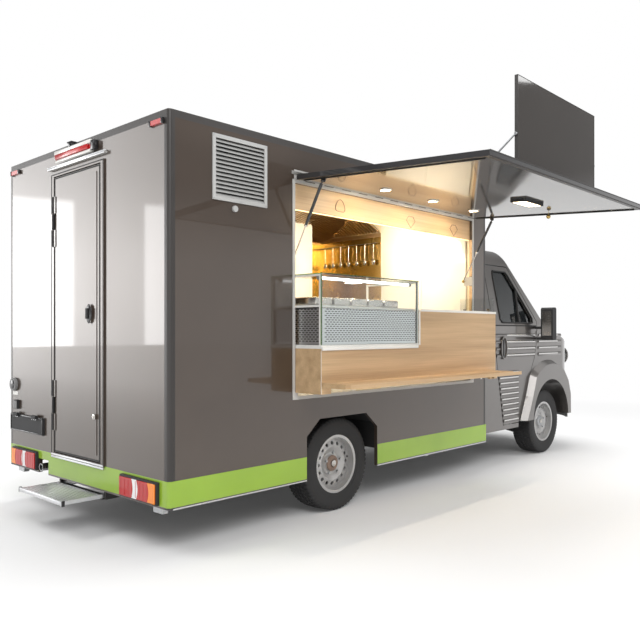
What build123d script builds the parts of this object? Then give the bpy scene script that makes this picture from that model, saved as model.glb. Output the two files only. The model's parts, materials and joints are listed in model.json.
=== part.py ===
"""Street-food truck: a low-frame van chassis with a ribbed cab and a box body.

Frame: origin on the floor, on the centreline, midway between the axles.
+X is forward, +Y is the vehicle's left side, +Z is up.  Sizes are millimetres.
The serving side, with its awning and counter, is the right side (-Y).
"""
import os
from math import atan2, cos, degrees, hypot, radians, sin, sqrt

from build123d import *

os.makedirs("parts", exist_ok=True)

# Driving dimensions: axles and wheels
WHEELBASE = 3450
FRONT_OVERHANG = 950
REAR_TRACK = 1840
FRONT_TRACK = 1780
TYRE_RADIUS = 348
TYRE_WIDTH = 225
BEAD_RADIUS = 205
RIM_LIP_RADIUS = 222
RIM_WIDTH = 196
RIM_SHEET = 8
WHEEL_HOLES = 16
WHEEL_HOLE_RADIUS = 14
WHEEL_HOLE_CIRCLE = 152
HUB_RADIUS = 62
STUB_RADIUS = 30

# Driving dimensions: box body
BOX_LENGTH = 3580
BOX_FRONT_X = 315
BOX_WIDTH = 2186
BOX_TOP = 2650
SKIRT_BOTTOM = 290
WALL = 30
PROFILE = 45
PROFILE_ROUND = 22
FLOOR_TOP = 500
FLOOR_THICK = 50
ARCH_HALF = 392
ARCH_TOP_HALF = 258
ARCH_SHOULDER = 600
ARCH_TOP = 715
HOUSING_GAP = 87.5
HOUSING_SHEET = 12
HOUSING_RISE = 40

# Driving dimensions: serving opening, awning, sign, counter
OPENING_REAR = -2235
OPENING_FRONT = 65
OPENING_BOTTOM = 893
OPENING_TOP = 2370
TRIM_WIDTH = 24
TRIM_PROUD = 4
AWNING_REACH = 1510
AWNING_THICK = 33
AWNING_DROOP = 3.5
AWNING_AXIS_OUT = 14
AWNING_AXIS_Z = 2396
AWNING_INNER = 5
AWNING_START = 12
AWNING_LAP = 8
SIGN_WIDTH = 1150
SIGN_HEIGHT = 560
SIGN_THICK = 20
SIGN_FROM_EDGE = 145
SIGN_REAR = -1675
SIGN_AXIS_RISE = 20
STAY_RADIUS = 6
STAY_UP = 200
STAY_FOOT_IN = 250
COUNTER_OUT = 247
COUNTER_TRAVEL = 290
COUNTER_BOARD = 18
COUNTER_TOP = 1520
COUNTER_BOTTOM = 918
SHELF_TOP = 996
SHELF_THICK = 31
SHELF_DEPTH = 209
SHELF_FRONT = -15
VITRINE_FRONT = -1105
VITRINE_TOP = 1735
VITRINE_BASE = 1225
GLASS = 6

# Driving dimensions: cab
CAB_WIDTH = 2050
SILL_Z = 350
BELT_Z = 1412
GUTTER_Z = 2055
GUTTER_HALF = 945
ROOF_Z = 2215
NOSE_Z = 1190
NOSE_X_SIDE = 2364
SCREEN_RUN = 1.168
SCREEN_BASE_X = 1710
SCREEN_SAG = 130
SCREEN_HALF = 860
CAB_SKIN = 45
DOOR_THICK = 50
DOOR_GAP = 8
FENDER_SKIN = 25
FLARE_PROUD = 62
FRONT_ARCH_RADIUS = 420
FRONT_ARCH_Z = 400
LINER_RADIUS = 462
BONNET_HALF = 700
BONNET_REAR = 2040
RIB_PROUD = 9
RIB_WIDTH = 36

# Driving dimensions: running gear
RAIL_HALF = 430
RAIL_WIDTH = 60
RAIL_BOTTOM = 300
RAIL_TOP = 450
KINGPIN_LOW_Y = 800
KINGPIN_TOP_Y = 640
KINGPIN_LOW_Z = 183
KINGPIN_TOP_Z = 900
STRUT_RADIUS = 26
RUN_GAP = 0.3
SEAT_GAP = 0.3
MOVE_GAP = 6

# Places worked out from the driving dimensions
REAR_AXLE_X = -WHEELBASE / 2
FRONT_AXLE_X = WHEELBASE / 2
REAR_X = BOX_FRONT_X - BOX_LENGTH
NOSE_X = FRONT_AXLE_X + FRONT_OVERHANG - 60
BOX_HALF = BOX_WIDTH / 2
CAB_HALF = CAB_WIDTH / 2
CAB_REAR = BOX_FRONT_X + 6
AXLE_Z = TYRE_RADIUS
FLOOR_BOTTOM = FLOOR_TOP - FLOOR_THICK
WALL_INNER = BOX_HALF - WALL
HOUSING_INNER = REAR_TRACK / 2 - TYRE_WIDTH / 2 - HOUSING_GAP
SIGN_OUT = AWNING_REACH - SIGN_FROM_EDGE
AWNING_AXIS_Y = -(BOX_HALF + AWNING_AXIS_OUT)
AWNING_REAR = OPENING_REAR - AWNING_LAP
AWNING_FRONT = OPENING_FRONT + AWNING_LAP


def save(builder, name):
    """Label a finished piece and write it to its own STEP file."""
    builder.part.label = name
    export_step(builder.part, f"parts/{name}.step")


def block(x, y, z, mode=Mode.ADD):
    """Box between (low, high) limits on each axis, in the open part."""
    with Locations(((x[0] + x[1]) / 2, (y[0] + y[1]) / 2, (z[0] + z[1]) / 2)):
        Box(x[1] - x[0], y[1] - y[0], z[1] - z[0], mode=mode)


def rod(start, end, radius, mode=Mode.ADD):
    """Round bar between two points, in the open part."""
    axis = Vector(*end) - Vector(*start)
    with BuildSketch(Plane(origin=start, z_dir=axis)) as section:
        Circle(radius)
    extrude(section.sketch, amount=axis.length, mode=mode)


def side_plane(y):
    """Drawing plane at the given y: sketch x is +X, sketch y is +Z, normal is -Y."""
    return Plane(origin=(0, y, 0), x_dir=(1, 0, 0), z_dir=(0, -1, 0))


def prism_y(points, y, mode=Mode.ADD):
    """Prism of an (x, z) outline between y[0] and y[1], in the open part."""
    with BuildSketch(side_plane(y[1])) as section:
        with BuildLine():
            Polyline(*points, close=True)
        make_face()
    extrude(section.sketch, amount=y[1] - y[0], mode=mode)


def prism_x(points, x, mode=Mode.ADD):
    """Prism of a (y, z) outline between x[0] and x[1], in the open part."""
    with BuildSketch(Plane.YZ.offset(x[0])) as section:
        with BuildLine():
            Polyline(*points, close=True)
        make_face()
    extrude(section.sketch, amount=x[1] - x[0], mode=mode)


def mirrored(values, sign):
    """A (low, high) pair on the right side, or its mirror on the left side."""
    return values if sign < 0 else (-values[1], -values[0])


# Wheels: one tyre and one pressed steel wheel at each corner, turning about Y
WHEEL_PLACES = (
    # name, axle x, wheel centre y
    ("rear_right", REAR_AXLE_X, -REAR_TRACK / 2),
    ("rear_left", REAR_AXLE_X, REAR_TRACK / 2),
    ("front_right", FRONT_AXLE_X, -FRONT_TRACK / 2),
    ("front_left", FRONT_AXLE_X, FRONT_TRACK / 2),
)
TYRE_TREAD_HALF = 92
HUB_FACE = 52
DISC_FACE = 34
DISC_SHEET = 9
HUB_BACK = 46


def tyre_at(x, y):
    """Tyre with a flat tread, rounded shoulders and a bulged side wall."""
    wide = TYRE_WIDTH / 2
    with BuildPart() as tyre:
        with BuildSketch(Plane.YZ.offset(x)):
            with BuildLine():
                Polyline(
                    (y - TYRE_TREAD_HALF, AXLE_Z + TYRE_RADIUS),
                    (y + TYRE_TREAD_HALF, AXLE_Z + TYRE_RADIUS),
                    (y + wide - 4, AXLE_Z + TYRE_RADIUS - 20),
                    (y + wide, AXLE_Z + TYRE_RADIUS - 62),
                    (y + RIM_WIDTH / 2 - 8, AXLE_Z + RIM_LIP_RADIUS + 6),
                    (y + RIM_WIDTH / 2 - 16, AXLE_Z + BEAD_RADIUS),
                    (y - RIM_WIDTH / 2 + 16, AXLE_Z + BEAD_RADIUS),
                    (y - RIM_WIDTH / 2 + 8, AXLE_Z + RIM_LIP_RADIUS + 6),
                    (y - wide, AXLE_Z + TYRE_RADIUS - 62),
                    (y - wide + 4, AXLE_Z + TYRE_RADIUS - 20),
                    close=True,
                )
            make_face()
        revolve(axis=Axis((x, 0, AXLE_Z), (0, 1, 0)))
    return tyre


def wheel_at(x, y):
    """Pressed steel wheel: barrel with lips, dished disc with a ring of holes, hub."""
    out = 1 if y > 0 else -1
    barrel = BEAD_RADIUS - SEAT_GAP
    half = RIM_WIDTH / 2
    with BuildPart() as wheel:
        with BuildSketch(Plane.YZ.offset(x)):
            with BuildLine():
                Polyline(
                    (y - out * half, AXLE_Z + RIM_LIP_RADIUS),
                    (y - out * (half - 6), AXLE_Z + RIM_LIP_RADIUS),
                    (y - out * (half - 10), AXLE_Z + barrel),
                    (y + out * (half - 10), AXLE_Z + barrel),
                    (y + out * (half - 6), AXLE_Z + RIM_LIP_RADIUS),
                    (y + out * half, AXLE_Z + RIM_LIP_RADIUS),
                    (y + out * (half - 2), AXLE_Z + barrel - RIM_SHEET),
                    (y + out * (DISC_FACE + 6), AXLE_Z + barrel - RIM_SHEET),
                    (y + out * (DISC_FACE + 26), AXLE_Z + WHEEL_HOLE_CIRCLE - 26),
                    (y + out * DISC_FACE, AXLE_Z + HUB_RADIUS + 22),
                    (y + out * DISC_FACE, AXLE_Z + HUB_RADIUS),
                    (y + out * HUB_FACE, AXLE_Z + HUB_RADIUS - 12),
                    (y + out * HUB_FACE, AXLE_Z + STUB_RADIUS + RUN_GAP),
                    (y - out * HUB_BACK, AXLE_Z + STUB_RADIUS + RUN_GAP),
                    (y - out * HUB_BACK, AXLE_Z + HUB_RADIUS - 8),
                    (y + out * (DISC_FACE - DISC_SHEET), AXLE_Z + HUB_RADIUS - 4),
                    (y + out * (DISC_FACE - DISC_SHEET), AXLE_Z + HUB_RADIUS + 24),
                    (y + out * (DISC_FACE + 16), AXLE_Z + WHEEL_HOLE_CIRCLE - 22),
                    (y + out * (DISC_FACE - 6), AXLE_Z + barrel - RIM_SHEET),
                    (y - out * (half - 2), AXLE_Z + barrel - RIM_SHEET),
                    close=True,
                )
            make_face()
        revolve(axis=Axis((x, 0, AXLE_Z), (0, 1, 0)))
        hole_plane = Plane(origin=(x, y, AXLE_Z), x_dir=(1, 0, 0), z_dir=(0, out, 0))
        with BuildSketch(hole_plane):
            with PolarLocations(WHEEL_HOLE_CIRCLE, WHEEL_HOLES):
                Circle(WHEEL_HOLE_RADIUS)
        extrude(amount=RIM_WIDTH / 2, mode=Mode.SUBTRACT)
    return wheel


for place, axle_x, centre_y in WHEEL_PLACES:
    save(tyre_at(axle_x, centre_y), f"tyre_{place}")
    save(wheel_at(axle_x, centre_y), f"wheel_{place}")


# Running gear: stub axles, knuckles that steer, rear axle beam, ladder frame
def kingpin_y(z):
    """Distance of the leaning steering axis from the centreline at height z."""
    share = (z - KINGPIN_LOW_Z) / (KINGPIN_TOP_Z - KINGPIN_LOW_Z)
    return KINGPIN_LOW_Y + (KINGPIN_TOP_Y - KINGPIN_LOW_Y) * share


UPRIGHT_TOP_Z = 500
STRUT_TOP_Z = 800
SPRING_RADIUS = 52
SPRING_LOW_Z = 610
for sign, side in ((-1, "right"), (1, "left")):
    with BuildPart() as knuckle:
        low_z = KINGPIN_LOW_Z + 29
        rod(
            (FRONT_AXLE_X, sign * kingpin_y(low_z), low_z),
            (FRONT_AXLE_X, sign * kingpin_y(UPRIGHT_TOP_Z), UPRIGHT_TOP_Z),
            STRUT_RADIUS + 6,
        )
        rod(
            (FRONT_AXLE_X, sign * kingpin_y(UPRIGHT_TOP_Z), UPRIGHT_TOP_Z),
            (FRONT_AXLE_X, sign * kingpin_y(STRUT_TOP_Z), STRUT_TOP_Z),
            STRUT_RADIUS,
        )
        rod(
            (FRONT_AXLE_X, sign * kingpin_y(SPRING_LOW_Z + 12), SPRING_LOW_Z + 12),
            (FRONT_AXLE_X, sign * kingpin_y(STRUT_TOP_Z), STRUT_TOP_Z),
            SPRING_RADIUS - 8,
        )
        rod(
            (FRONT_AXLE_X, sign * (kingpin_y(AXLE_Z) - 20), AXLE_Z),
            (FRONT_AXLE_X, sign * (FRONT_TRACK / 2 + HUB_FACE - 4), AXLE_Z),
            STUB_RADIUS,
        )
        rod(
            (FRONT_AXLE_X, sign * (kingpin_y(AXLE_Z) + 4), AXLE_Z),
            (FRONT_AXLE_X, sign * (FRONT_TRACK / 2 - HUB_BACK - 2), AXLE_Z),
            STUB_RADIUS + 24,
        )
    save(knuckle, f"knuckle_{side}")

REAR_BEAM_RADIUS = 42
REAR_BEAM_BACK = 60
TRAIL_Y = REAR_TRACK / 2 - 310
with BuildPart() as rear_axle:
    beam_x = REAR_AXLE_X - REAR_BEAM_BACK
    beam_z = RAIL_BOTTOM - REAR_BEAM_RADIUS - SEAT_GAP
    rod((beam_x, -TRAIL_Y - 60, beam_z), (beam_x, TRAIL_Y + 60, beam_z), REAR_BEAM_RADIUS)
    for sign in (-1, 1):
        stub_inner = REAR_TRACK / 2 - HUB_BACK - 2
        prism_y(
            ((beam_x - 55, beam_z - 40), (beam_x - 55, beam_z + 60), (REAR_AXLE_X - 20, AXLE_Z + 50),
             (REAR_AXLE_X + 60, AXLE_Z + 40), (REAR_AXLE_X + 60, AXLE_Z - 50), (beam_x, beam_z - 50)),
            mirrored((-(stub_inner - 130), -(TRAIL_Y + 20)), sign),
        )
        rod(
            (REAR_AXLE_X, sign * (TRAIL_Y + 30), AXLE_Z),
            (REAR_AXLE_X, sign * stub_inner, AXLE_Z),
            STUB_RADIUS + 24,
        )
        rod(
            (REAR_AXLE_X, sign * (TRAIL_Y + 30), AXLE_Z),
            (REAR_AXLE_X, sign * (REAR_TRACK / 2 + HUB_FACE - 4), AXLE_Z),
            STUB_RADIUS,
        )
save(rear_axle, "rear_axle")

# Ladder frame with crossmembers, front subframe, step rails and steady brackets
FRAME_REAR = REAR_X + 40
FRAME_FRONT = FRONT_AXLE_X + 760
CROSSMEMBERS = (REAR_X + 115, REAR_X + 765, -1250, -600, 40, 700, 2420)
CROSS_WIDTH = 70
CROSS_HEIGHT = 90
ARM_WIDTH = 56
STEP_HALF = 300
STEP_OUT = 262
STEP_TRAVEL = 250
STEP_TREAD_LENGTH = 300
STEP_BOTTOM = 235
STEP_TOP = 260
STEP_RAIL = 24
STEADY_PIVOTS = (
    # name, pivot x, side sign
    ("rear_right", REAR_X + 345, -1),
    ("rear_left", REAR_X + 345, 1),
    ("front_right", BOX_FRONT_X - 530, -1),
    ("front_left", BOX_FRONT_X - 530, 1),
)
STEADY_Y = BOX_HALF - 150
STEADY_Z = 268
STEADY_LENGTH = 320
STEADY_PIN = 8
STEADY_EAR = 8
STEADY_HALF = 26
with BuildPart() as frame:
    for sign in (-1, 1):
        block(
            (FRAME_REAR, FRAME_FRONT),
            mirrored((-RAIL_HALF - RAIL_WIDTH / 2, -RAIL_HALF + RAIL_WIDTH / 2), sign),
            (RAIL_BOTTOM, RAIL_TOP),
        )
    for cross_x in CROSSMEMBERS:
        block(
            (cross_x - CROSS_WIDTH / 2, cross_x + CROSS_WIDTH / 2),
            (-RAIL_HALF, RAIL_HALF),
            (RAIL_BOTTOM, RAIL_BOTTOM + CROSS_HEIGHT),
        )
    block(
        (FRONT_AXLE_X - 130, FRONT_AXLE_X + 130), (-RAIL_HALF, RAIL_HALF), (RAIL_BOTTOM - 70, RAIL_BOTTOM)
    )
    for sign in (-1, 1):
        arm_low = KINGPIN_LOW_Z - 12
        prism_x(
            tuple((sign * y, z) for y, z in (
                (RAIL_HALF - 40, RAIL_BOTTOM - 60), (RAIL_HALF - 40, RAIL_BOTTOM - 20),
                (KINGPIN_LOW_Y, arm_low + 24), (KINGPIN_LOW_Y + 24, arm_low + 24),
                (KINGPIN_LOW_Y + 24, arm_low), (KINGPIN_LOW_Y - 20, arm_low),
            )),
            (FRONT_AXLE_X - ARM_WIDTH / 2, FRONT_AXLE_X + ARM_WIDTH / 2),
        )
        block(
            (REAR_X + WALL + 1, REAR_X + 520),
            mirrored((-STEP_HALF - STEP_RAIL, -STEP_HALF - 4), sign),
            (STEP_BOTTOM - 9, RAIL_BOTTOM + 20),
        )
        block(
            (REAR_X + 12, REAR_X + 520),
            mirrored((-STEP_HALF - 4, -STEP_HALF + 16), sign),
            (STEP_BOTTOM - 9, STEP_BOTTOM - SEAT_GAP),
        )
    block(
        (REAR_X + 430, REAR_X + 520), (-RAIL_HALF, RAIL_HALF), (STEP_TOP + 10, RAIL_BOTTOM + 20)
    )
    for _, pivot_x, sign in STEADY_PIVOTS:
        for ear_side in (-STEADY_HALF - STEADY_EAR - 1, STEADY_HALF + 1):
            low = STEADY_Y + ear_side
            block(
                (pivot_x - 20, pivot_x + 30),
                mirrored((-low - STEADY_EAR, -low), sign),
                (STEADY_Z - 18, FLOOR_BOTTOM),
            )
        block(
            (pivot_x + 14, pivot_x + 30),
            mirrored((-STEADY_Y - STEADY_HALF - STEADY_EAR, -RAIL_HALF), sign),
            (FLOOR_BOTTOM - 28, FLOOR_BOTTOM),
        )
        rod(
            (pivot_x, sign * (STEADY_Y - STEADY_HALF - 9), STEADY_Z),
            (pivot_x, sign * (STEADY_Y + STEADY_HALF + 9), STEADY_Z),
            STEADY_PIN,
        )
save(frame, "frame")

# Winding steadies: folded legs with a foot plate, each turning on its bracket pin
STEADY_LEG = 22
STEADY_FOOT = 48
for name, pivot_x, sign in STEADY_PIVOTS:
    with BuildPart() as steady:
        y_low = -STEADY_Y - STEADY_HALF
        y_high = -STEADY_Y + STEADY_HALF
        for ear in ((y_low, y_low + STEADY_EAR), (y_high - STEADY_EAR, y_high)):
            block(
                (pivot_x - STEADY_LENGTH + 40, pivot_x + 12),
                mirrored(ear, sign),
                (STEADY_Z - 14, STEADY_Z + 14),
            )
        block(
            (pivot_x - STEADY_LENGTH + 40, pivot_x - 40),
            mirrored((y_low, y_high), sign),
            (STEADY_Z + 6, STEADY_Z + 14),
        )
        block(
            (pivot_x - STEADY_LENGTH, pivot_x - STEADY_LENGTH + 40),
            mirrored((-STEADY_Y - STEADY_FOOT, -STEADY_Y + STEADY_FOOT), sign),
            (STEADY_Z - 20, STEADY_Z + 16),
        )
        rod(
            (pivot_x, sign * (STEADY_Y - STEADY_HALF - 4), STEADY_Z),
            (pivot_x, sign * (STEADY_Y + STEADY_HALF + 4), STEADY_Z),
            STEADY_PIN + RUN_GAP,
            mode=Mode.SUBTRACT,
        )
    save(steady, f"steady_{name}")

# Engine as one plain block, tank and exhaust under the floor
with BuildPart() as engine:
    block((FRONT_AXLE_X - 20, FRONT_AXLE_X + 560), (-330, 330), (RAIL_TOP - 40, 960))
    block((FRONT_AXLE_X + 40, FRONT_AXLE_X + 460), (-RAIL_HALF + 31, RAIL_HALF - 31), (RAIL_BOTTOM + 10, RAIL_TOP))
    for sign in (-1, 1):
        block(
            (FRONT_AXLE_X + 180, FRONT_AXLE_X + 280),
            mirrored((-RAIL_HALF - 20, -320), sign),
            (RAIL_TOP, RAIL_TOP + 60),
        )
save(engine, "engine")

TANK_X = (-1100, -300)
with BuildPart() as fuel_tank:
    block(TANK_X, (RAIL_HALF + 31, STEADY_Y - 90), (FLOOR_BOTTOM - 200, FLOOR_BOTTOM))
    fillet(fuel_tank.edges().filter_by(Axis.X), 40)
save(fuel_tank, "fuel_tank")

# Exhaust: pipe along the left rail, silencer and a light tail pipe in the skirt notch
EXHAUST_Y = 512
EXHAUST_Z = 340
PIPE_RADIUS = 28
SILENCER_RADIUS = 78
NOTCH = (433, 591)
NOTCH_TOP = 395
with BuildPart() as exhaust:
    rod((REAR_X - 20, EXHAUST_Y, EXHAUST_Z), (REAR_X + 700, EXHAUST_Y, EXHAUST_Z), PIPE_RADIUS)
    rod((REAR_X + 180, EXHAUST_Y + 46, EXHAUST_Z), (REAR_X + 640, EXHAUST_Y + 46, EXHAUST_Z), SILENCER_RADIUS)
    block((REAR_X + 300, REAR_X + 330), (EXHAUST_Y + 30, EXHAUST_Y + 60), (EXHAUST_Z, FLOOR_BOTTOM))
    block((REAR_X + 520, REAR_X + 550), (EXHAUST_Y + 30, EXHAUST_Y + 60), (EXHAUST_Z, FLOOR_BOTTOM))
    with BuildSketch(Plane.YZ.offset(REAR_X - 20)):
        with Locations((EXHAUST_Y, EXHAUST_Z)):
            Circle(PIPE_RADIUS - 5)
    extrude(amount=120, mode=Mode.SUBTRACT)
save(exhaust, "exhaust")

# Entry step that slides forward on its two rails
with BuildPart() as step:
    block(
        (REAR_X - STEP_OUT, REAR_X - STEP_OUT + STEP_TREAD_LENGTH),
        (-STEP_HALF, STEP_HALF), (STEP_BOTTOM, STEP_TOP),
    )
    for sign in (-1, 1):
        block(
            (REAR_X - STEP_OUT, REAR_X + 200),
            mirrored((-STEP_HALF, -STEP_HALF + 30), sign), (STEP_BOTTOM, STEP_TOP),
        )
        block(
            (REAR_X - STEP_OUT - 6, REAR_X - STEP_OUT + 16),
            mirrored((-STEP_HALF - 8, -STEP_HALF), sign), (STEP_BOTTOM - 4, STEP_TOP + 4),
        )
save(step, "step")

# Box body: floor with wheel housings, walls between edge profiles, roof
ARCH = (
    (REAR_AXLE_X - ARCH_HALF, SKIRT_BOTTOM - 20), (REAR_AXLE_X - ARCH_HALF, ARCH_SHOULDER),
    (REAR_AXLE_X - ARCH_TOP_HALF, ARCH_TOP), (REAR_AXLE_X + ARCH_TOP_HALF, ARCH_TOP),
    (REAR_AXLE_X + ARCH_HALF, ARCH_SHOULDER), (REAR_AXLE_X + ARCH_HALF, SKIRT_BOTTOM - 20),
)


def arch_outline(grow, bottom):
    """Wheel-arch outline grown by a margin, with its open side at the given height."""
    middle = REAR_AXLE_X
    points = []
    for x, z in ARCH[1:5]:
        points.append((x + (grow if x > middle else -grow), z + grow))
    return ((points[0][0], bottom), *points, (points[-1][0], bottom))


with BuildPart() as box_floor:
    block(
        (REAR_X + WALL, BOX_FRONT_X - WALL), (-WALL_INNER, WALL_INNER), (FLOOR_BOTTOM, FLOOR_TOP)
    )
    for sign in (-1, 1):
        prism_y(
            arch_outline(HOUSING_RISE, FLOOR_BOTTOM - 30),
            mirrored((-WALL_INNER, -HOUSING_INNER), sign),
        )
        prism_y(
            arch_outline(HOUSING_RISE - HOUSING_SHEET, FLOOR_BOTTOM - 40),
            mirrored((-WALL_INNER, -HOUSING_INNER - HOUSING_SHEET), sign),
            mode=Mode.SUBTRACT,
        )
        for corner_x in ((REAR_X, REAR_X + PROFILE), (BOX_FRONT_X - PROFILE, BOX_FRONT_X)):
            block(
                corner_x, mirrored((-BOX_HALF, -BOX_HALF + PROFILE), sign),
                (FLOOR_BOTTOM - 1, FLOOR_TOP + 1), mode=Mode.SUBTRACT,
            )
save(box_floor, "box_floor")

POST = PROFILE
ROOF_RAIL_Z = BOX_TOP - PROFILE
with BuildPart() as edge_profiles:
    block((REAR_X, BOX_FRONT_X), (-BOX_HALF, BOX_HALF), (ROOF_RAIL_Z, BOX_TOP))
    block(
        (REAR_X + POST, BOX_FRONT_X - POST), (-BOX_HALF + POST, BOX_HALF - POST),
        (ROOF_RAIL_Z, BOX_TOP), mode=Mode.SUBTRACT,
    )
    for corner_x in (REAR_X, BOX_FRONT_X - POST):
        for corner_y in (-BOX_HALF, BOX_HALF - POST):
            block((corner_x, corner_x + POST), (corner_y, corner_y + POST), (SKIRT_BOTTOM, ROOF_RAIL_Z))
    outer = edge_profiles.edges().filter_by(Axis.Z).group_by(
        lambda edge: round(abs(edge.center().Y) + abs(edge.center().X - (REAR_X + BOX_FRONT_X) / 2), 1)
    )[-1]
    fillet(outer, PROFILE_ROUND)
save(edge_profiles, "edge_profiles")

with BuildPart() as roof_panel:
    block(
        (REAR_X + POST, BOX_FRONT_X - POST), (-BOX_HALF + POST, BOX_HALF - POST),
        (ROOF_RAIL_Z, BOX_TOP - 8),
    )
save(roof_panel, "roof_panel")

# Louvre frame let into the right wall, with a round vent cap below it
LOUVRE_X = (REAR_X + 316, REAR_X + 766)
LOUVRE_Z = (2160, 2570)
LOUVRE_FRAME = 24
LOUVRE_SLATS = 14
LOUVRE_DEEP = 22
VENT_X = REAR_X + 493
VENT_Z = 2120
VENT_RADIUS = 20
with BuildPart() as side_wall_right:
    block((REAR_X + POST, BOX_FRONT_X - POST), (-BOX_HALF, -WALL_INNER), (SKIRT_BOTTOM, ROOF_RAIL_Z))
    block(
        (OPENING_REAR, OPENING_FRONT), (-BOX_HALF - 1, -WALL_INNER + 1),
        (OPENING_BOTTOM, OPENING_TOP), mode=Mode.SUBTRACT,
    )
    block(
        (LOUVRE_X[0] + LOUVRE_FRAME, LOUVRE_X[1] - LOUVRE_FRAME), (-BOX_HALF - 1, -WALL_INNER + 1),
        (LOUVRE_Z[0] + LOUVRE_FRAME, LOUVRE_Z[1] - LOUVRE_FRAME), mode=Mode.SUBTRACT,
    )
    prism_y(ARCH, (-BOX_HALF - 1, -WALL_INNER + 1), mode=Mode.SUBTRACT)
save(side_wall_right, "side_wall_right")

with BuildPart() as side_wall_left:
    block((REAR_X + POST, BOX_FRONT_X - POST), (WALL_INNER, BOX_HALF), (SKIRT_BOTTOM, ROOF_RAIL_Z))
    prism_y(ARCH, (WALL_INNER - 1, BOX_HALF + 1), mode=Mode.SUBTRACT)
save(side_wall_left, "side_wall_left")

with BuildPart() as louvre:
    block(LOUVRE_X, (-BOX_HALF - 9, -BOX_HALF), LOUVRE_Z)
    block(
        (LOUVRE_X[0] + LOUVRE_FRAME, LOUVRE_X[1] - LOUVRE_FRAME), (-BOX_HALF - 10, -BOX_HALF + 1),
        (LOUVRE_Z[0] + LOUVRE_FRAME, LOUVRE_Z[1] - LOUVRE_FRAME), mode=Mode.SUBTRACT,
    )
    slat_pitch = (LOUVRE_Z[1] - LOUVRE_Z[0] - 2 * LOUVRE_FRAME) / LOUVRE_SLATS
    for index in range(LOUVRE_SLATS):
        slat_z = LOUVRE_Z[0] + LOUVRE_FRAME + slat_pitch * (index + 0.5)
        prism_x(
            ((-BOX_HALF - 8, slat_z - 12), (-BOX_HALF - 6, slat_z - 12),
             (-BOX_HALF + LOUVRE_DEEP - 8, slat_z + 10), (-BOX_HALF + LOUVRE_DEEP - 10, slat_z + 10)),
            (LOUVRE_X[0] + LOUVRE_FRAME, LOUVRE_X[1] - LOUVRE_FRAME),
        )
    rod((VENT_X, -BOX_HALF, VENT_Z), (VENT_X, -BOX_HALF - 14, VENT_Z), VENT_RADIUS)
save(louvre, "louvre")

with BuildPart() as front_wall:
    block(
        (BOX_FRONT_X - WALL, BOX_FRONT_X), (-BOX_HALF + POST, BOX_HALF - POST), (FLOOR_BOTTOM, ROOF_RAIL_Z)
    )
save(front_wall, "front_wall")

# Rear wall with its door frame, and the door on the left-hand edge of that frame
DOOR_OPEN_HALF = 330
DOOR_OPEN_BOTTOM = 470
DOOR_OPEN_TOP = 2455
DOOR_FRAME_WIDTH = 40
DOOR_FRAME_PROUD = 10
LEAF_GAP = 8
LEAF_THICK = 36
HINGE_X = REAR_X - DOOR_FRAME_PROUD - 7
HINGE_Y = DOOR_OPEN_HALF - 4
HINGE_RADIUS = 7
DOOR_PIN_RADIUS = 4
HINGE_SPANS = ((633, 993), (1950, 2310))
HANDLE_Y = -200
HANDLE_Z = (1405, 1515)
LOCK_Y = -262
LOCK_Z = 775
with BuildPart() as rear_wall:
    block((REAR_X, REAR_X + WALL), (-BOX_HALF + POST, BOX_HALF - POST), (SKIRT_BOTTOM, ROOF_RAIL_Z))
    block(
        (REAR_X - DOOR_FRAME_PROUD, REAR_X + WALL),
        (-DOOR_OPEN_HALF - DOOR_FRAME_WIDTH, DOOR_OPEN_HALF + DOOR_FRAME_WIDTH),
        (DOOR_OPEN_BOTTOM - DOOR_FRAME_WIDTH + 20, DOOR_OPEN_TOP + DOOR_FRAME_WIDTH - 20),
    )
    block(
        (REAR_X - DOOR_FRAME_PROUD - 1, REAR_X + WALL + 1), (-DOOR_OPEN_HALF, DOOR_OPEN_HALF),
        (DOOR_OPEN_BOTTOM, DOOR_OPEN_TOP), mode=Mode.SUBTRACT,
    )
    block(
        (REAR_X - 1, REAR_X + WALL + 1), NOTCH, (SKIRT_BOTTOM - 1, NOTCH_TOP), mode=Mode.SUBTRACT
    )
    for low, high in HINGE_SPANS:
        third = (high - low) / 3
        block(
            (HINGE_X, REAR_X - DOOR_FRAME_PROUD), (HINGE_Y + 4, HINGE_Y + 40),
            (low + third + 2, high - third - 2),
        )
        rod((HINGE_X, HINGE_Y, low + third + 2), (HINGE_X, HINGE_Y, high - third - 2), HINGE_RADIUS)
        rod((HINGE_X, HINGE_Y, low + 2), (HINGE_X, HINGE_Y, high - 2), DOOR_PIN_RADIUS)
save(rear_wall, "rear_wall")

with BuildPart() as rear_door:
    leaf_x = (REAR_X - DOOR_FRAME_PROUD + 2, REAR_X - DOOR_FRAME_PROUD + 2 + LEAF_THICK)
    block(
        leaf_x, (-DOOR_OPEN_HALF + LEAF_GAP, DOOR_OPEN_HALF - LEAF_GAP),
        (DOOR_OPEN_BOTTOM + LEAF_GAP, DOOR_OPEN_TOP - LEAF_GAP),
    )
    block(
        (leaf_x[0] - 4, leaf_x[0]), (-DOOR_OPEN_HALF + 50, DOOR_OPEN_HALF - 50),
        (DOOR_OPEN_BOTTOM + 50, DOOR_OPEN_TOP - 50),
    )
    for low, high in HINGE_SPANS:
        third = (high - low) / 3
        for part_low in (low, high - third):
            block(
                (HINGE_X, leaf_x[0]), (HINGE_Y - 34, HINGE_Y - 4), (part_low, part_low + third)
            )
            rod((HINGE_X, HINGE_Y, part_low), (HINGE_X, HINGE_Y, part_low + third), HINGE_RADIUS)
        rod((HINGE_X, HINGE_Y, low), (HINGE_X, HINGE_Y, high), DOOR_PIN_RADIUS + RUN_GAP, mode=Mode.SUBTRACT)
    block(
        (leaf_x[0] - 16, leaf_x[0]), (HANDLE_Y - 28, HANDLE_Y + 28), HANDLE_Z
    )
    rod((leaf_x[0], LOCK_Y, LOCK_Z), (leaf_x[0] - 12, LOCK_Y, LOCK_Z), 18)
save(rear_door, "rear_door")

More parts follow.
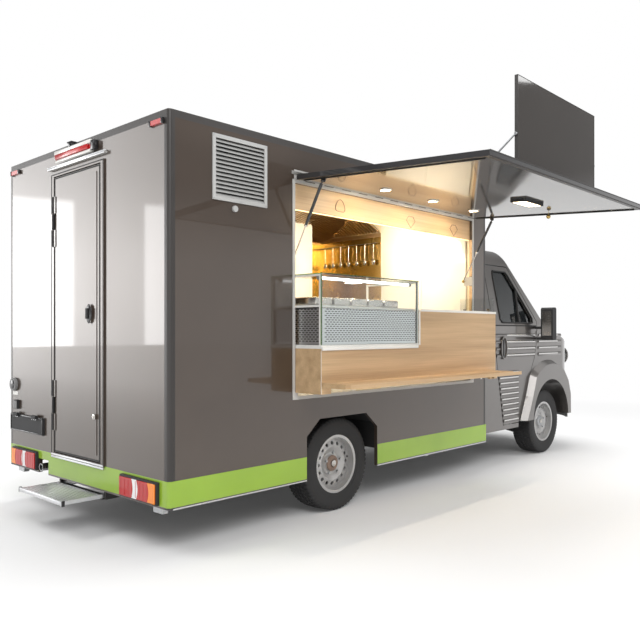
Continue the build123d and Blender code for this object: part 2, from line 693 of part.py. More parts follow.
# Lamps on the rear wall: tail lamps, high brake lamp, red markers
TAIL_LAMP_Y = (600, 990)
TAIL_LAMP_Z = (318, 432)
TAIL_LAMP_DEEP = 26
HIGH_LAMP_Y = (-225, 260)
HIGH_LAMP_Z = (2560, 2600)
MARKER_Y = (925, 1035)
MARKER_Z = (2572, 2600)
with BuildPart() as rear_lamps:
    for sign in (-1, 1):
        block((REAR_X - TAIL_LAMP_DEEP, REAR_X), mirrored((-TAIL_LAMP_Y[1], -TAIL_LAMP_Y[0]), sign), TAIL_LAMP_Z)
        block((REAR_X - 16, REAR_X), mirrored((-MARKER_Y[1], -MARKER_Y[0]), sign), MARKER_Z)
    block((REAR_X - 26, REAR_X), HIGH_LAMP_Y, HIGH_LAMP_Z)
save(rear_lamps, "rear_lamps")

# Plate holder with its two lamps, inlet, socket, camera on the roof edge
PLATE_Y = (495, 1050)
PLATE_Z = (572, 700)
INLET_Y = 1000
INLET_Z = 928
SOCKET_Y = 960
SOCKET_Z = 773
with BuildPart() as rear_fittings:
    block((REAR_X - 14, REAR_X), PLATE_Y, PLATE_Z)
    for lamp_y in (PLATE_Y[0] + 120, PLATE_Y[1] - 120):
        block((REAR_X - 34, REAR_X - 14), (lamp_y - 32, lamp_y + 32), (PLATE_Z[1] - 14, PLATE_Z[1] + 14))
    rod((REAR_X, INLET_Y, INLET_Z), (REAR_X - 22, INLET_Y, INLET_Z), 44)
    block((REAR_X - 16, REAR_X), (SOCKET_Y - 34, SOCKET_Y + 34), (SOCKET_Z - 34, SOCKET_Z + 34))
    block((REAR_X - 30, REAR_X), (20, 70), (BOX_TOP - 38, BOX_TOP - 4))
save(rear_fittings, "rear_fittings")

# Aluminium trim round the opening, rain gutter above it and rain bar over the door
GUTTER_BAR_Z = 2440
RAIN_BAR_Z = 2512
RAIN_BAR_HALF = 400
HINGE_LEAF = 3
HINGE_KNUCKLES = 12
PIN_RADIUS = 5
with BuildPart() as opening_trim:
    block(
        (OPENING_REAR - TRIM_WIDTH, OPENING_FRONT + TRIM_WIDTH), (-BOX_HALF - TRIM_PROUD, -BOX_HALF),
        (OPENING_BOTTOM - TRIM_WIDTH, OPENING_TOP + TRIM_WIDTH),
    )
    block(
        (OPENING_REAR, OPENING_FRONT), (-BOX_HALF - TRIM_PROUD - 1, -BOX_HALF + 1),
        (OPENING_BOTTOM, OPENING_TOP), mode=Mode.SUBTRACT,
    )
    prism_x(
        ((-BOX_HALF, GUTTER_BAR_Z - 12), (-BOX_HALF - 26, GUTTER_BAR_Z + 2), (-BOX_HALF - 26, GUTTER_BAR_Z + 14),
         (-BOX_HALF - 22, GUTTER_BAR_Z + 14), (-BOX_HALF - 20, GUTTER_BAR_Z + 6), (-BOX_HALF, GUTTER_BAR_Z + 12)),
        (OPENING_REAR - 30, OPENING_FRONT + 30),
    )
    block((REAR_X - 22, REAR_X), (-RAIN_BAR_HALF, RAIN_BAR_HALF), (RAIN_BAR_Z - 6, RAIN_BAR_Z + 8))
    knuckle_pitch = (AWNING_FRONT - AWNING_REAR) / (2 * HINGE_KNUCKLES)
    block(
        (AWNING_REAR, AWNING_FRONT), (-BOX_HALF - HINGE_LEAF, -BOX_HALF),
        (AWNING_AXIS_Z - PIN_RADIUS, AWNING_AXIS_Z + 30),
    )
    rod((AWNING_REAR, AWNING_AXIS_Y, AWNING_AXIS_Z), (AWNING_FRONT, AWNING_AXIS_Y, AWNING_AXIS_Z), PIN_RADIUS)
    for index in range(HINGE_KNUCKLES):
        low_x = AWNING_REAR + knuckle_pitch * 2 * index
        block(
            (low_x + 2, low_x + knuckle_pitch - 2), (AWNING_AXIS_Y, -BOX_HALF - 1),
            (AWNING_AXIS_Z - PIN_RADIUS, AWNING_AXIS_Z + PIN_RADIUS),
        )


def open_awning(points):
    """Turn (y, z) points of the closed awning, from its hinge axis, to the open rest."""
    angle = -radians(90 - AWNING_DROOP)
    return tuple(
        (AWNING_AXIS_Y + y * cos(angle) - z * sin(angle), AWNING_AXIS_Z + y * sin(angle) + z * cos(angle))
        for y, z in points
    )


# Awning: a flat lid over the opening, its lugs for the sign and the strut pins
AWNING_OUTER = AWNING_INNER - AWNING_THICK
STRUT_PIVOT_DOWN = 220
STRUT_PIVOT_IN = 26
STRUT_X = (OPENING_REAR + 34, OPENING_FRONT - 34)
STRUT_PIN = 5
EYE_RADIUS = 11
EYE_HALF = 7
LUG_THICK = 14
SIGN_AXIS = (AWNING_OUTER - SIGN_AXIS_RISE, -SIGN_OUT)
SIGN_PIN = 5

with BuildPart() as awning:
    prism_x(
        open_awning((
            (AWNING_INNER, -AWNING_START), (AWNING_OUTER, -AWNING_START),
            (AWNING_OUTER, -AWNING_REACH), (AWNING_INNER, -AWNING_REACH),
        )),
        (AWNING_REAR, AWNING_FRONT),
    )
    eye_ring = open_awning(((-9, -PIN_RADIUS - 0.6), (AWNING_INNER, -PIN_RADIUS - 0.6),
                            (AWNING_INNER, -AWNING_START - 2), (-9, -AWNING_START - 2)))
    for index in range(HINGE_KNUCKLES):
        low_x = AWNING_REAR + knuckle_pitch * (2 * index + 1)
        prism_x(eye_ring, (low_x + 2, low_x + knuckle_pitch - 2))
        rod(
            (low_x + 2, AWNING_AXIS_Y, AWNING_AXIS_Z), (low_x + knuckle_pitch - 2, AWNING_AXIS_Y, AWNING_AXIS_Z),
            PIN_RADIUS + 3,
        )
    rod(
        (AWNING_REAR - 1, AWNING_AXIS_Y, AWNING_AXIS_Z), (AWNING_FRONT + 1, AWNING_AXIS_Y, AWNING_AXIS_Z),
        PIN_RADIUS + RUN_GAP, mode=Mode.SUBTRACT,
    )
    for strut_x, inner in zip(STRUT_X, (1, -1)):
        ear_x = sorted((strut_x + inner * (EYE_HALF + 0.5), strut_x + inner * (EYE_HALF + 7)))
        prism_x(
            open_awning((
                (AWNING_INNER - 1, -STRUT_PIVOT_DOWN - 26), (AWNING_INNER - 1, -STRUT_PIVOT_DOWN + 26),
                (STRUT_PIVOT_IN + 10, -STRUT_PIVOT_DOWN + 10), (STRUT_PIVOT_IN + 10, -STRUT_PIVOT_DOWN - 10),
            )),
            ear_x,
        )
        pivot_y, pivot_z = open_awning(((STRUT_PIVOT_IN, -STRUT_PIVOT_DOWN),))[0]
        rod((strut_x - inner * EYE_HALF, pivot_y, pivot_z), (strut_x + inner * (EYE_HALF + 1), pivot_y, pivot_z), STRUT_PIN)
    sign_y, sign_z = open_awning((SIGN_AXIS,))[0]
    for lug_x, pin_end in ((SIGN_REAR - 34, 50), (SIGN_REAR + SIGN_WIDTH + 20, -36)):
        prism_x(
            open_awning((
                (AWNING_OUTER + 1, -SIGN_OUT - 30), (AWNING_OUTER + 1, -SIGN_OUT + 30),
                (AWNING_OUTER - SIGN_AXIS_RISE - 10, -SIGN_OUT + 9), (AWNING_OUTER - SIGN_AXIS_RISE - 10, -SIGN_OUT - 9),
            )),
            (lug_x, lug_x + LUG_THICK),
        )
        rod((lug_x + LUG_THICK / 2, sign_y, sign_z), (lug_x + LUG_THICK / 2 + pin_end, sign_y, sign_z), SIGN_PIN)
save(awning, "awning")
PIVOT_Y, PIVOT_Z = open_awning(((STRUT_PIVOT_IN, -STRUT_PIVOT_DOWN),))[0]
SIGN_Y, SIGN_Z = open_awning((SIGN_AXIS,))[0]

# Gas struts: tubes on the awning, rods to ball studs on brackets at the jambs
EYE_Y = -1020
EYE_Z = 1810
TUBE_RADIUS = 11
ROD_RADIUS = 5
TUBE_LENGTH = 330
ROD_LENGTH = 330
strut_length = hypot(EYE_Y - PIVOT_Y, EYE_Z - PIVOT_Z)
strut_y = (EYE_Y - PIVOT_Y) / strut_length
strut_z = (EYE_Z - PIVOT_Z) / strut_length


def along_strut(x, distance):
    """Point at a distance from the awning pivot towards the jamb."""
    return (x, PIVOT_Y + strut_y * distance, PIVOT_Z + strut_z * distance)


with BuildPart() as strut_tubes:
    for strut_x in STRUT_X:
        rod((strut_x - EYE_HALF + 1, PIVOT_Y, PIVOT_Z), (strut_x + EYE_HALF - 1, PIVOT_Y, PIVOT_Z), EYE_RADIUS)
        rod(along_strut(strut_x, 6), along_strut(strut_x, TUBE_LENGTH), TUBE_RADIUS - 6)
        rod(along_strut(strut_x, 22), along_strut(strut_x, TUBE_LENGTH), TUBE_RADIUS)
        rod(
            along_strut(strut_x, 30), along_strut(strut_x, TUBE_LENGTH + 1), ROD_RADIUS + RUN_GAP,
            mode=Mode.SUBTRACT,
        )
        rod(
            (strut_x - EYE_HALF, PIVOT_Y, PIVOT_Z), (strut_x + EYE_HALF, PIVOT_Y, PIVOT_Z),
            STRUT_PIN + RUN_GAP, mode=Mode.SUBTRACT,
        )
save(strut_tubes, "strut_tubes")

with BuildPart() as strut_rods:
    for strut_x in STRUT_X:
        rod(along_strut(strut_x, strut_length - ROD_LENGTH), along_strut(strut_x, strut_length - 8), ROD_RADIUS)
        rod((strut_x - EYE_HALF + 1, EYE_Y, EYE_Z), (strut_x + EYE_HALF - 1, EYE_Y, EYE_Z), EYE_RADIUS)
save(strut_rods, "strut_rods")


# Sign panel standing on the awning, with its two folding stays
stay_foot_y = SIGN_Y + STAY_FOOT_IN
foot_surface = open_awning(((AWNING_OUTER, -SIGN_OUT + STAY_FOOT_IN),))[0][1]
stay_foot_z = foot_surface + STAY_RADIUS + 1
with BuildPart() as sign:
    block(
        (SIGN_REAR, SIGN_REAR + SIGN_WIDTH), (SIGN_Y - SIGN_THICK / 2, SIGN_Y + SIGN_THICK / 2),
        (SIGN_Z - 9, SIGN_Z + SIGN_HEIGHT),
    )
    for pin_x in (SIGN_REAR - 1, SIGN_REAR + SIGN_WIDTH + 1):
        inward = 42 if pin_x < SIGN_REAR + SIGN_WIDTH / 2 else -42
        rod((pin_x, SIGN_Y, SIGN_Z), (pin_x + inward, SIGN_Y, SIGN_Z), SIGN_PIN + RUN_GAP, mode=Mode.SUBTRACT)
    for pin_x, out in ((SIGN_REAR, -18), (SIGN_REAR + SIGN_WIDTH, 18)):
        rod((pin_x, SIGN_Y, SIGN_Z + STAY_UP), (pin_x + out, SIGN_Y, SIGN_Z + STAY_UP), 4)
save(sign, "sign")

with BuildPart() as sign_stays:
    for stay_x, out in ((SIGN_REAR - 10, -1), (SIGN_REAR + SIGN_WIDTH + 10, 1)):
        rod((stay_x, SIGN_Y, SIGN_Z + STAY_UP), (stay_x, stay_foot_y, stay_foot_z), STAY_RADIUS)
        rod((stay_x - 7, SIGN_Y, SIGN_Z + STAY_UP), (stay_x + 7, SIGN_Y, SIGN_Z + STAY_UP), 9)
        rod(
            (stay_x - 8, SIGN_Y, SIGN_Z + STAY_UP), (stay_x + 8, SIGN_Y, SIGN_Z + STAY_UP),
            4 + RUN_GAP, mode=Mode.SUBTRACT,
        )
save(sign_stays, "sign_stays")

# Sliding counter: case, top, glass show case, and the shelf that folds up
COUNTER_FRONT_Y = -(BOX_HALF + COUNTER_OUT)
COUNTER_BACK_Y = -WALL_INNER + COUNTER_TRAVEL - 40
SHELF_AXIS_Y = COUNTER_FRONT_Y - 6
SHELF_AXIS_Z = SHELF_TOP + 2
SHELF_PIN = 2.5
SHELF_KNUCKLES = 8
COUNTER_X = (OPENING_REAR + MOVE_GAP, OPENING_FRONT - MOVE_GAP)
with BuildPart() as counter_case:
    board = COUNTER_BOARD
    for side_x in ((COUNTER_X[0], COUNTER_X[0] + board), (COUNTER_X[1] - board, COUNTER_X[1])):
        top = VITRINE_BASE if side_x[0] < VITRINE_FRONT else COUNTER_TOP - 20
        block(side_x, (COUNTER_FRONT_Y, COUNTER_BACK_Y), (COUNTER_BOTTOM, top))
    block(
        (COUNTER_X[0], VITRINE_FRONT), (COUNTER_FRONT_Y, COUNTER_FRONT_Y + board), (SHELF_TOP - 20, VITRINE_BASE)
    )
    block(
        (VITRINE_FRONT, COUNTER_X[1]), (COUNTER_FRONT_Y, COUNTER_FRONT_Y + board), (SHELF_TOP - 20, COUNTER_TOP - 20)
    )
    block(
        (COUNTER_X[0], COUNTER_X[1]), (COUNTER_FRONT_Y, COUNTER_BACK_Y), (SHELF_TOP - 20, SHELF_TOP - 20 + board)
    )
    block(
        (VITRINE_FRONT - board, VITRINE_FRONT), (COUNTER_FRONT_Y, COUNTER_BACK_Y), (SHELF_TOP - 20, COUNTER_TOP - 20)
    )
    for end_x in ((COUNTER_X[0], COUNTER_X[0] + 96), (COUNTER_X[1] - 96, COUNTER_X[1])):
        block(end_x, (COUNTER_FRONT_Y, COUNTER_FRONT_Y + board), (COUNTER_BOTTOM, SHELF_TOP - 20))
    shelf_pitch = (SHELF_FRONT - COUNTER_X[0]) / (2 * SHELF_KNUCKLES)
    rod((COUNTER_X[0], SHELF_AXIS_Y, SHELF_AXIS_Z), (SHELF_FRONT, SHELF_AXIS_Y, SHELF_AXIS_Z), SHELF_PIN)
    for index in range(SHELF_KNUCKLES):
        low_x = COUNTER_X[0] + shelf_pitch * 2 * index
        block(
            (low_x + 2, low_x + shelf_pitch - 2), (SHELF_AXIS_Y, COUNTER_FRONT_Y + 1),
            (SHELF_AXIS_Z - SHELF_PIN, SHELF_AXIS_Z + SHELF_PIN),
        )
save(counter_case, "counter_case")

with BuildPart() as counter_top:
    block(
        (VITRINE_FRONT + 1, COUNTER_X[1] + 0), (COUNTER_FRONT_Y - 4, COUNTER_BACK_Y), (COUNTER_TOP - 20, COUNTER_TOP)
    )
save(counter_top, "counter_top")

VITRINE_X = (COUNTER_X[0], VITRINE_FRONT - COUNTER_BOARD - 1)
POST_SIZE = 14
with BuildPart() as vitrine:
    vitrine_y = (COUNTER_FRONT_Y, COUNTER_BACK_Y)
    block(VITRINE_X, vitrine_y, (VITRINE_BASE, VITRINE_BASE + 25))
    block(
        (VITRINE_X[0] + 12, VITRINE_X[1] - 12), (vitrine_y[0] + 14, vitrine_y[1] - 12),
        (VITRINE_BASE + 6, VITRINE_BASE + 26), mode=Mode.SUBTRACT,
    )
    for post_x in (VITRINE_X[0], VITRINE_X[1] - POST_SIZE):
        for post_y in (vitrine_y[0] + 8, vitrine_y[1] - POST_SIZE):
            block((post_x, post_x + POST_SIZE), (post_y, post_y + POST_SIZE), (VITRINE_BASE + 6, VITRINE_TOP - GLASS))
        block(
            (post_x, post_x + POST_SIZE), (vitrine_y[0] + 8, vitrine_y[1]), (COUNTER_TOP - 14, COUNTER_TOP)
        )
        block(
            (post_x, post_x + POST_SIZE), (vitrine_y[0] + 8, vitrine_y[1]),
            (VITRINE_TOP - GLASS - POST_SIZE, VITRINE_TOP - GLASS),
        )
    block(
        (VITRINE_X[0], VITRINE_X[1]), (vitrine_y[1] - POST_SIZE, vitrine_y[1]), (VITRINE_BASE, COUNTER_TOP)
    )
    block(
        (VITRINE_X[0], VITRINE_X[1]), (vitrine_y[0] + 40, vitrine_y[1]), (COUNTER_TOP - 14, COUNTER_TOP)
    )
save(vitrine, "vitrine")

with BuildPart() as vitrine_glass:
    block(VITRINE_X, (vitrine_y[0], vitrine_y[0] + GLASS), (VITRINE_BASE + 25 + SEAT_GAP, VITRINE_TOP))
    block(VITRINE_X, (vitrine_y[0], vitrine_y[1] - 120), (VITRINE_TOP - GLASS + SEAT_GAP, VITRINE_TOP))
save(vitrine_glass, "vitrine_glass")

with BuildPart() as shelf:
    block(
        (COUNTER_X[0], SHELF_FRONT), (SHELF_AXIS_Y - 2 - SHELF_DEPTH, SHELF_AXIS_Y - 2),
        (SHELF_TOP - SHELF_THICK, SHELF_TOP),
    )
    for index in range(SHELF_KNUCKLES):
        low_x = COUNTER_X[0] + shelf_pitch * (2 * index + 1)
        rod(
            (low_x + 2, SHELF_AXIS_Y, SHELF_AXIS_Z), (low_x + shelf_pitch - 2, SHELF_AXIS_Y, SHELF_AXIS_Z),
            SHELF_PIN + 2,
        )
    rod(
        (COUNTER_X[0] - 1, SHELF_AXIS_Y, SHELF_AXIS_Z), (SHELF_FRONT + 1, SHELF_AXIS_Y, SHELF_AXIS_Z),
        SHELF_PIN + RUN_GAP, mode=Mode.SUBTRACT,
    )
save(shelf, "shelf")

RUNNER_LENGTH = 330
FASCIA_Z = (2198, OPENING_TOP + 20)
FASCIA_THICK = 18

# The struts' lower brackets, the counter's runners and the fascia belong to the window frame
with opening_trim:
    block((OPENING_REAR - 20, OPENING_FRONT + 20), (-WALL_INNER, -WALL_INNER + FASCIA_THICK), FASCIA_Z)
    for runner_x in (COUNTER_X[0], COUNTER_X[1] - COUNTER_BOARD):
        block(
            (runner_x - 6, runner_x + COUNTER_BOARD + 6), (-BOX_HALF, -BOX_HALF + RUNNER_LENGTH),
            (OPENING_BOTTOM, COUNTER_BOTTOM - RUN_GAP),
        )
    for strut_x, jamb_x, inner in ((STRUT_X[0], OPENING_REAR, 1), (STRUT_X[1], OPENING_FRONT, -1)):
        stud_end = strut_x - inner * (EYE_HALF - 0.5)
        plate_x = sorted((jamb_x, jamb_x + inner * 6))
        block(plate_x, (-BOX_HALF + 1, EYE_Y + 14), (EYE_Z - 40, EYE_Z + 40))
        rod((jamb_x + inner * 6, EYE_Y, EYE_Z), (stud_end, EYE_Y, EYE_Z), 8)
save(opening_trim, "opening_trim")

# Kitchen along the left wall: extractor hood, base units, tall white cupboard
HOOD_X = (REAR_X + 365, REAR_X + 1765)
HOOD_Y = (480, WALL_INNER)
HOOD_Z = (1960, 2560)
HOOD_SHEET = 14
BAFFLES = 22
with BuildPart() as hood:
    hood_outline = (
        (HOOD_Y[0], HOOD_Z[0] + 260), (HOOD_Y[0], HOOD_Z[1]), (HOOD_Y[1], HOOD_Z[1]),
        (HOOD_Y[1], HOOD_Z[0]), (HOOD_Y[1] - 90, HOOD_Z[0]),
    )
    prism_x(hood_outline, HOOD_X)
    baffle_pitch = (HOOD_X[1] - HOOD_X[0] - 80) / BAFFLES
    for index in range(BAFFLES):
        low_x = HOOD_X[0] + 40 + baffle_pitch * (index + 0.25)
        prism_x(
            ((HOOD_Y[0] + 60, HOOD_Z[0] + 190), (HOOD_Y[0] + 60, HOOD_Z[0] + 240),
             (HOOD_Y[1] - 120, HOOD_Z[0] + 60), (HOOD_Y[1] - 120, HOOD_Z[0] + 10)),
            (low_x, low_x + baffle_pitch / 2), mode=Mode.SUBTRACT,
        )
    rod((HOOD_X[0] + 60, WALL_INNER - 40, 1820), (HOOD_X[1] - 60, WALL_INNER - 40, 1820), 9)
    for rail_x in (HOOD_X[0] + 100, HOOD_X[1] - 100):
        rod((rail_x, WALL_INNER - 40, 1820), (rail_x, WALL_INNER, 1820), 7)
save(hood, "hood")

UNIT_X = (REAR_X + 330, BOX_FRONT_X - PROFILE)
UNIT_DEPTH = 560
UNIT_TOP = 1400
CUPBOARD_X = (-1180, -300)
with BuildPart() as kitchen_units:
    unit_back = WALL_INNER
    for unit_x in (
        (UNIT_X[0], REAR_AXLE_X - ARCH_HALF - HOUSING_RISE - 4),
        (REAR_AXLE_X + ARCH_HALF + HOUSING_RISE + 4, UNIT_X[1]),
    ):
        block(unit_x, (unit_back - UNIT_DEPTH, unit_back), (FLOOR_TOP, UNIT_TOP - 40))
    block(
        (REAR_AXLE_X - ARCH_HALF - HOUSING_RISE - 4, REAR_AXLE_X + ARCH_HALF + HOUSING_RISE + 4),
        (unit_back - UNIT_DEPTH, unit_back), (ARCH_TOP + HOUSING_RISE + 4, UNIT_TOP - 40),
    )
    block(UNIT_X, (unit_back - UNIT_DEPTH - 20, unit_back), (UNIT_TOP - 40, UNIT_TOP))
    block(CUPBOARD_X, (unit_back - 420, unit_back), (UNIT_TOP, 2560))
save(kitchen_units, "kitchen_units")

# Cab: one outer form, inset for the wall thickness, is cut into the real panels
SCREEN_RUN_LENGTH = sqrt(SCREEN_RUN ** 2 + 1)
SCREEN_DOWN = Vector(SCREEN_RUN, 0, -1) / SCREEN_RUN_LENGTH
SCREEN_PLANE = Plane(origin=(SCREEN_BASE_X, 0, BELT_Z), x_dir=(0, 1, 0), z_dir=SCREEN_DOWN)
SCREEN_CHORD = 950
SCREEN_RADIUS = (SCREEN_CHORD ** 2 + SCREEN_SAG ** 2) / (2 * SCREEN_SAG)
PLAN_SIDE_END = 2080
ROOF_FORM_FRONT = 2300
PLAN_CORNER = (2385, 905)
PLAN_FRONT = (2500, 640)


def screen_rise(y):
    """How far the curved screen stands out of its flat plane at a distance y."""
    return SCREEN_SAG - (SCREEN_RADIUS - sqrt(SCREEN_RADIUS ** 2 - y ** 2))


def screen_slab(low, high, half, along):
    """Curved slab parallel to the screen, between two depths, along its slope."""
    with BuildPart() as slab:
        with BuildSketch(SCREEN_PLANE.offset(along[0])):
            with BuildLine():
                ThreePointArc(
                    (-half, screen_rise(half) + low), (0, SCREEN_SAG + low), (half, screen_rise(half) + low)
                )
                Line((half, screen_rise(half) + low), (half, screen_rise(half) + high))
                ThreePointArc(
                    (half, screen_rise(half) + high), (0, SCREEN_SAG + high), (-half, screen_rise(half) + high)
                )
                Line((-half, screen_rise(half) + high), (-half, screen_rise(half) + low))
            make_face()
        extrude(amount=along[1] - along[0])
    return slab.part


def cab_form(inset):
    """Solid form of cab and nose, with every outer face moved inwards by the inset."""
    half = CAB_HALF - inset
    gutter = GUTTER_HALF - inset
    roof = ROOF_Z - inset
    rear = CAB_REAR + max(inset, 0)
    with BuildPart() as form:
        block((rear, ROOF_FORM_FRONT), (-half, half), (SILL_Z, ROOF_Z + 100))
        add(screen_slab(-inset, 2500, 1300, (-2500, 1500)), mode=Mode.SUBTRACT)
        prism_y(
            ((rear, SILL_Z), (rear, BELT_Z - inset), (SCREEN_BASE_X - inset, BELT_Z - inset),
             (NOSE_X_SIDE - inset, NOSE_Z - inset), (NOSE_X - 90 - inset, NOSE_Z - 60 - inset),
             (NOSE_X - inset, NOSE_Z - 190), (NOSE_X - inset, SILL_Z)),
            (-half, half),
        )
        with BuildSketch(Plane.YZ.offset(rear - 10)):
            with BuildLine():
                Polyline(
                    (-gutter, GUTTER_Z), (-half, BELT_Z), (-half, SILL_Z), (half, SILL_Z), (half, BELT_Z),
                    (gutter, GUTTER_Z),
                )
                ThreePointArc((gutter, GUTTER_Z), (gutter - 42, GUTTER_Z + 78 - inset / 2), (gutter - 150, roof - 38))
                ThreePointArc((gutter - 150, roof - 38), (0, roof), (150 - gutter, roof - 38))
                ThreePointArc((150 - gutter, roof - 38), (42 - gutter, GUTTER_Z + 78 - inset / 2), (-gutter, GUTTER_Z))
            make_face()
        extrude(amount=NOSE_X - rear + 200, mode=Mode.INTERSECT)
        with BuildSketch(Plane.XY.offset(SILL_Z - 1)):
            with BuildLine():
                Polyline(
                    (PLAN_SIDE_END, half), (rear - 10, half), (rear - 10, -half), (PLAN_SIDE_END, -half)
                )
                for side in (-1, 1):
                    ThreePointArc(
                        (PLAN_SIDE_END, side * half), (PLAN_CORNER[0] - inset, side * (PLAN_CORNER[1] - inset / 2)),
                        (PLAN_FRONT[0] - inset, side * (PLAN_FRONT[1] - inset / 2)),
                    )
                ThreePointArc(
                    (PLAN_FRONT[0] - inset, -PLAN_FRONT[1] + inset / 2), (NOSE_X - inset, 0),
                    (PLAN_FRONT[0] - inset, PLAN_FRONT[1] - inset / 2),
                )
            make_face()
        extrude(amount=ROOF_Z + 200, mode=Mode.INTERSECT)
    return form.part


CAB_OUTER = cab_form(0)

# Door outline, seen from the right: x, z
DOOR_OUTLINE = (
    (500, 2005), (582, 1343), (773, 402), (1085, 402), (1228, 607), (1334, 895), (1432, 1060),
    (1490, 1250), (1490, 1450), (955, 2005),
)
WINDOW_OUTLINE = ((646, 1955), (720, 1432), (1395, 1432), (1395, 1490), (930, 1955))


def grown(points, margin):
    """Outline of a polygon, moved outwards by a margin with sharp corners if there is one."""
    with BuildSketch() as sketch:
        with BuildLine():
            Polyline(*points, close=True)
        make_face()
        if margin:
            offset(amount=margin, kind=Kind.INTERSECTION)
    return sketch.sketch


def side_prism(outline, y, margin=0.0):
    """Prism of a cab outline between two y places, as a free part."""
    with BuildPart() as piece:
        with BuildSketch(side_plane(y[1])):
            add(grown(outline, margin))
        extrude(amount=y[1] - y[0])
    return piece.part


def rib_bank(x, heights, y):
    """Half-round pressed ribs along X on the cab side at the given heights."""
    with BuildPart() as ribs:
        with BuildSketch(Plane.YZ.offset(x[0])):
            for z in heights:
                with BuildLine():
                    Line((y + 6, z - RIB_WIDTH / 2), (y, z - RIB_WIDTH / 2))
                    ThreePointArc((y, z - RIB_WIDTH / 2), (y - RIB_PROUD, z), (y, z + RIB_WIDTH / 2))
                    Line((y, z + RIB_WIDTH / 2), (y + 6, z + RIB_WIDTH / 2))
                    Line((y + 6, z + RIB_WIDTH / 2), (y + 6, z - RIB_WIDTH / 2))
                make_face()
        extrude(amount=x[1] - x[0])
    return ribs.part


UPPER_RIBS = tuple(1100 + 68 * index for index in range(5))
LOWER_RIBS = tuple(440 + 54 * index for index in range(10))
RIB_HEIGHTS = UPPER_RIBS + LOWER_RIBS

# Shell: roof, back wall and pillars, left where doors, screen and nose are cut away
NOSE_CUT = ((1085, SILL_Z - 1), (1085, 402), (1228, 607), (1334, 895), (1432, 1060), (1490, 1250),
            (1490, BELT_Z), (NOSE_X + 200, BELT_Z), (NOSE_X + 200, SILL_Z - 1))
SCREEN_ALONG = (-900, 420)


def above_cowl(slab, lift):
    """The part of a screen slab that lies above the cowl and nose surface."""
    with BuildPart() as trimmed:
        add(slab)
        prism_y(
            ((1200, SILL_Z), (1200, BELT_Z + lift), (SCREEN_BASE_X, BELT_Z + lift),
             (NOSE_X_SIDE, NOSE_Z + lift), (NOSE_X_SIDE, SILL_Z)),
            (-CAB_HALF - 50, CAB_HALF + 50), mode=Mode.SUBTRACT,
        )
    return trimmed.part


SCREEN_OPENING = above_cowl(
    screen_slab(-160, 60, SCREEN_HALF, SCREEN_ALONG), 0
)
with BuildPart() as cab_shell:
    add(CAB_OUTER)
    add(cab_form(CAB_SKIN), mode=Mode.SUBTRACT)
    block((CAB_REAR + CAB_SKIN, 2700), (-CAB_HALF + CAB_SKIN, CAB_HALF - CAB_SKIN), (SILL_Z - 1, BELT_Z - 60), mode=Mode.SUBTRACT)
    for y in ((-CAB_HALF - 20, -500), (500, CAB_HALF + 20)):
        add(side_prism(DOOR_OUTLINE, y, DOOR_GAP), mode=Mode.SUBTRACT)
    prism_y(NOSE_CUT, (-CAB_HALF - 20, CAB_HALF + 20), mode=Mode.SUBTRACT)
    block((1502, 2700), (-CAB_HALF - 20, CAB_HALF + 20), (SILL_Z - 1, 1250), mode=Mode.SUBTRACT)
    add(SCREEN_OPENING, mode=Mode.SUBTRACT)
    block(
        (CAB_REAR - 1, CAB_REAR + CAB_SKIN + 1), (-RAIL_HALF - 60, RAIL_HALF + 60),
        (SILL_Z - 1, RAIL_TOP + 5), mode=Mode.SUBTRACT,
    )
save(cab_shell, "cab_shell")

# Doors: skin and inner panel in one leaf, ribbed outside, with the window cut out
WINDOW_MARGIN = 0.5
HANDLE_X = 765
HANDLE_MID_Z = 1178
HANDLE_SIZE = (120, 230)
CAB_HINGE_X = 1500
CAB_HINGE_Z = (1300, 1352)
CAB_HINGE_KNUCKLE = 7
CAB_HINGE_BARREL = 5
CAB_HINGE_PIN = 4
CAB_DOOR_INNER = cab_form(DOOR_THICK)
with BuildPart() as cab_door_right:
    add(CAB_OUTER)
    add(CAB_DOOR_INNER, mode=Mode.SUBTRACT)
    add(side_prism(DOOR_OUTLINE, (-CAB_HALF - 20, -500)), mode=Mode.INTERSECT)
    add(side_prism(WINDOW_OUTLINE, (-CAB_HALF - 20, -500)), mode=Mode.SUBTRACT)
    for front, heights in ((1470, UPPER_RIBS[:4]), (1080, LOWER_RIBS)):
        add(rib_bank((500, front), heights, -CAB_HALF))
    add(side_prism(DOOR_OUTLINE, (-CAB_HALF - 20, -500)), mode=Mode.INTERSECT)
    with BuildSketch(side_plane(-CAB_HALF - 4)):
        with Locations((HANDLE_X, HANDLE_MID_Z)):
            Ellipse(HANDLE_SIZE[0] / 2, HANDLE_SIZE[1] / 2)
    extrude(amount=14)
    with BuildSketch(side_plane(-CAB_HALF - 8)):
        with Locations((HANDLE_X, HANDLE_MID_Z)):
            Ellipse(HANDLE_SIZE[0] / 2 - 12, HANDLE_SIZE[1] / 2 - 12)
    extrude(amount=20, mode=Mode.SUBTRACT)
    block((CAB_HINGE_X - 22, CAB_HINGE_X - 3), (-CAB_HALF - CAB_HINGE_KNUCKLE, -CAB_HALF), CAB_HINGE_Z)
    hinge_low = (CAB_HINGE_X, -CAB_HALF, CAB_HINGE_Z[0])
    hinge_high = (CAB_HINGE_X, -CAB_HALF, CAB_HINGE_Z[1])
    rod(hinge_low, hinge_high, CAB_HINGE_KNUCKLE)
    rod(hinge_low, hinge_high, CAB_HINGE_PIN + RUN_GAP, mode=Mode.SUBTRACT)
save(cab_door_right, "cab_door_right")

with BuildPart() as cab_door_left:
    mirror(cab_door_right.part, about=Plane.XZ)
save(cab_door_left, "cab_door_left")

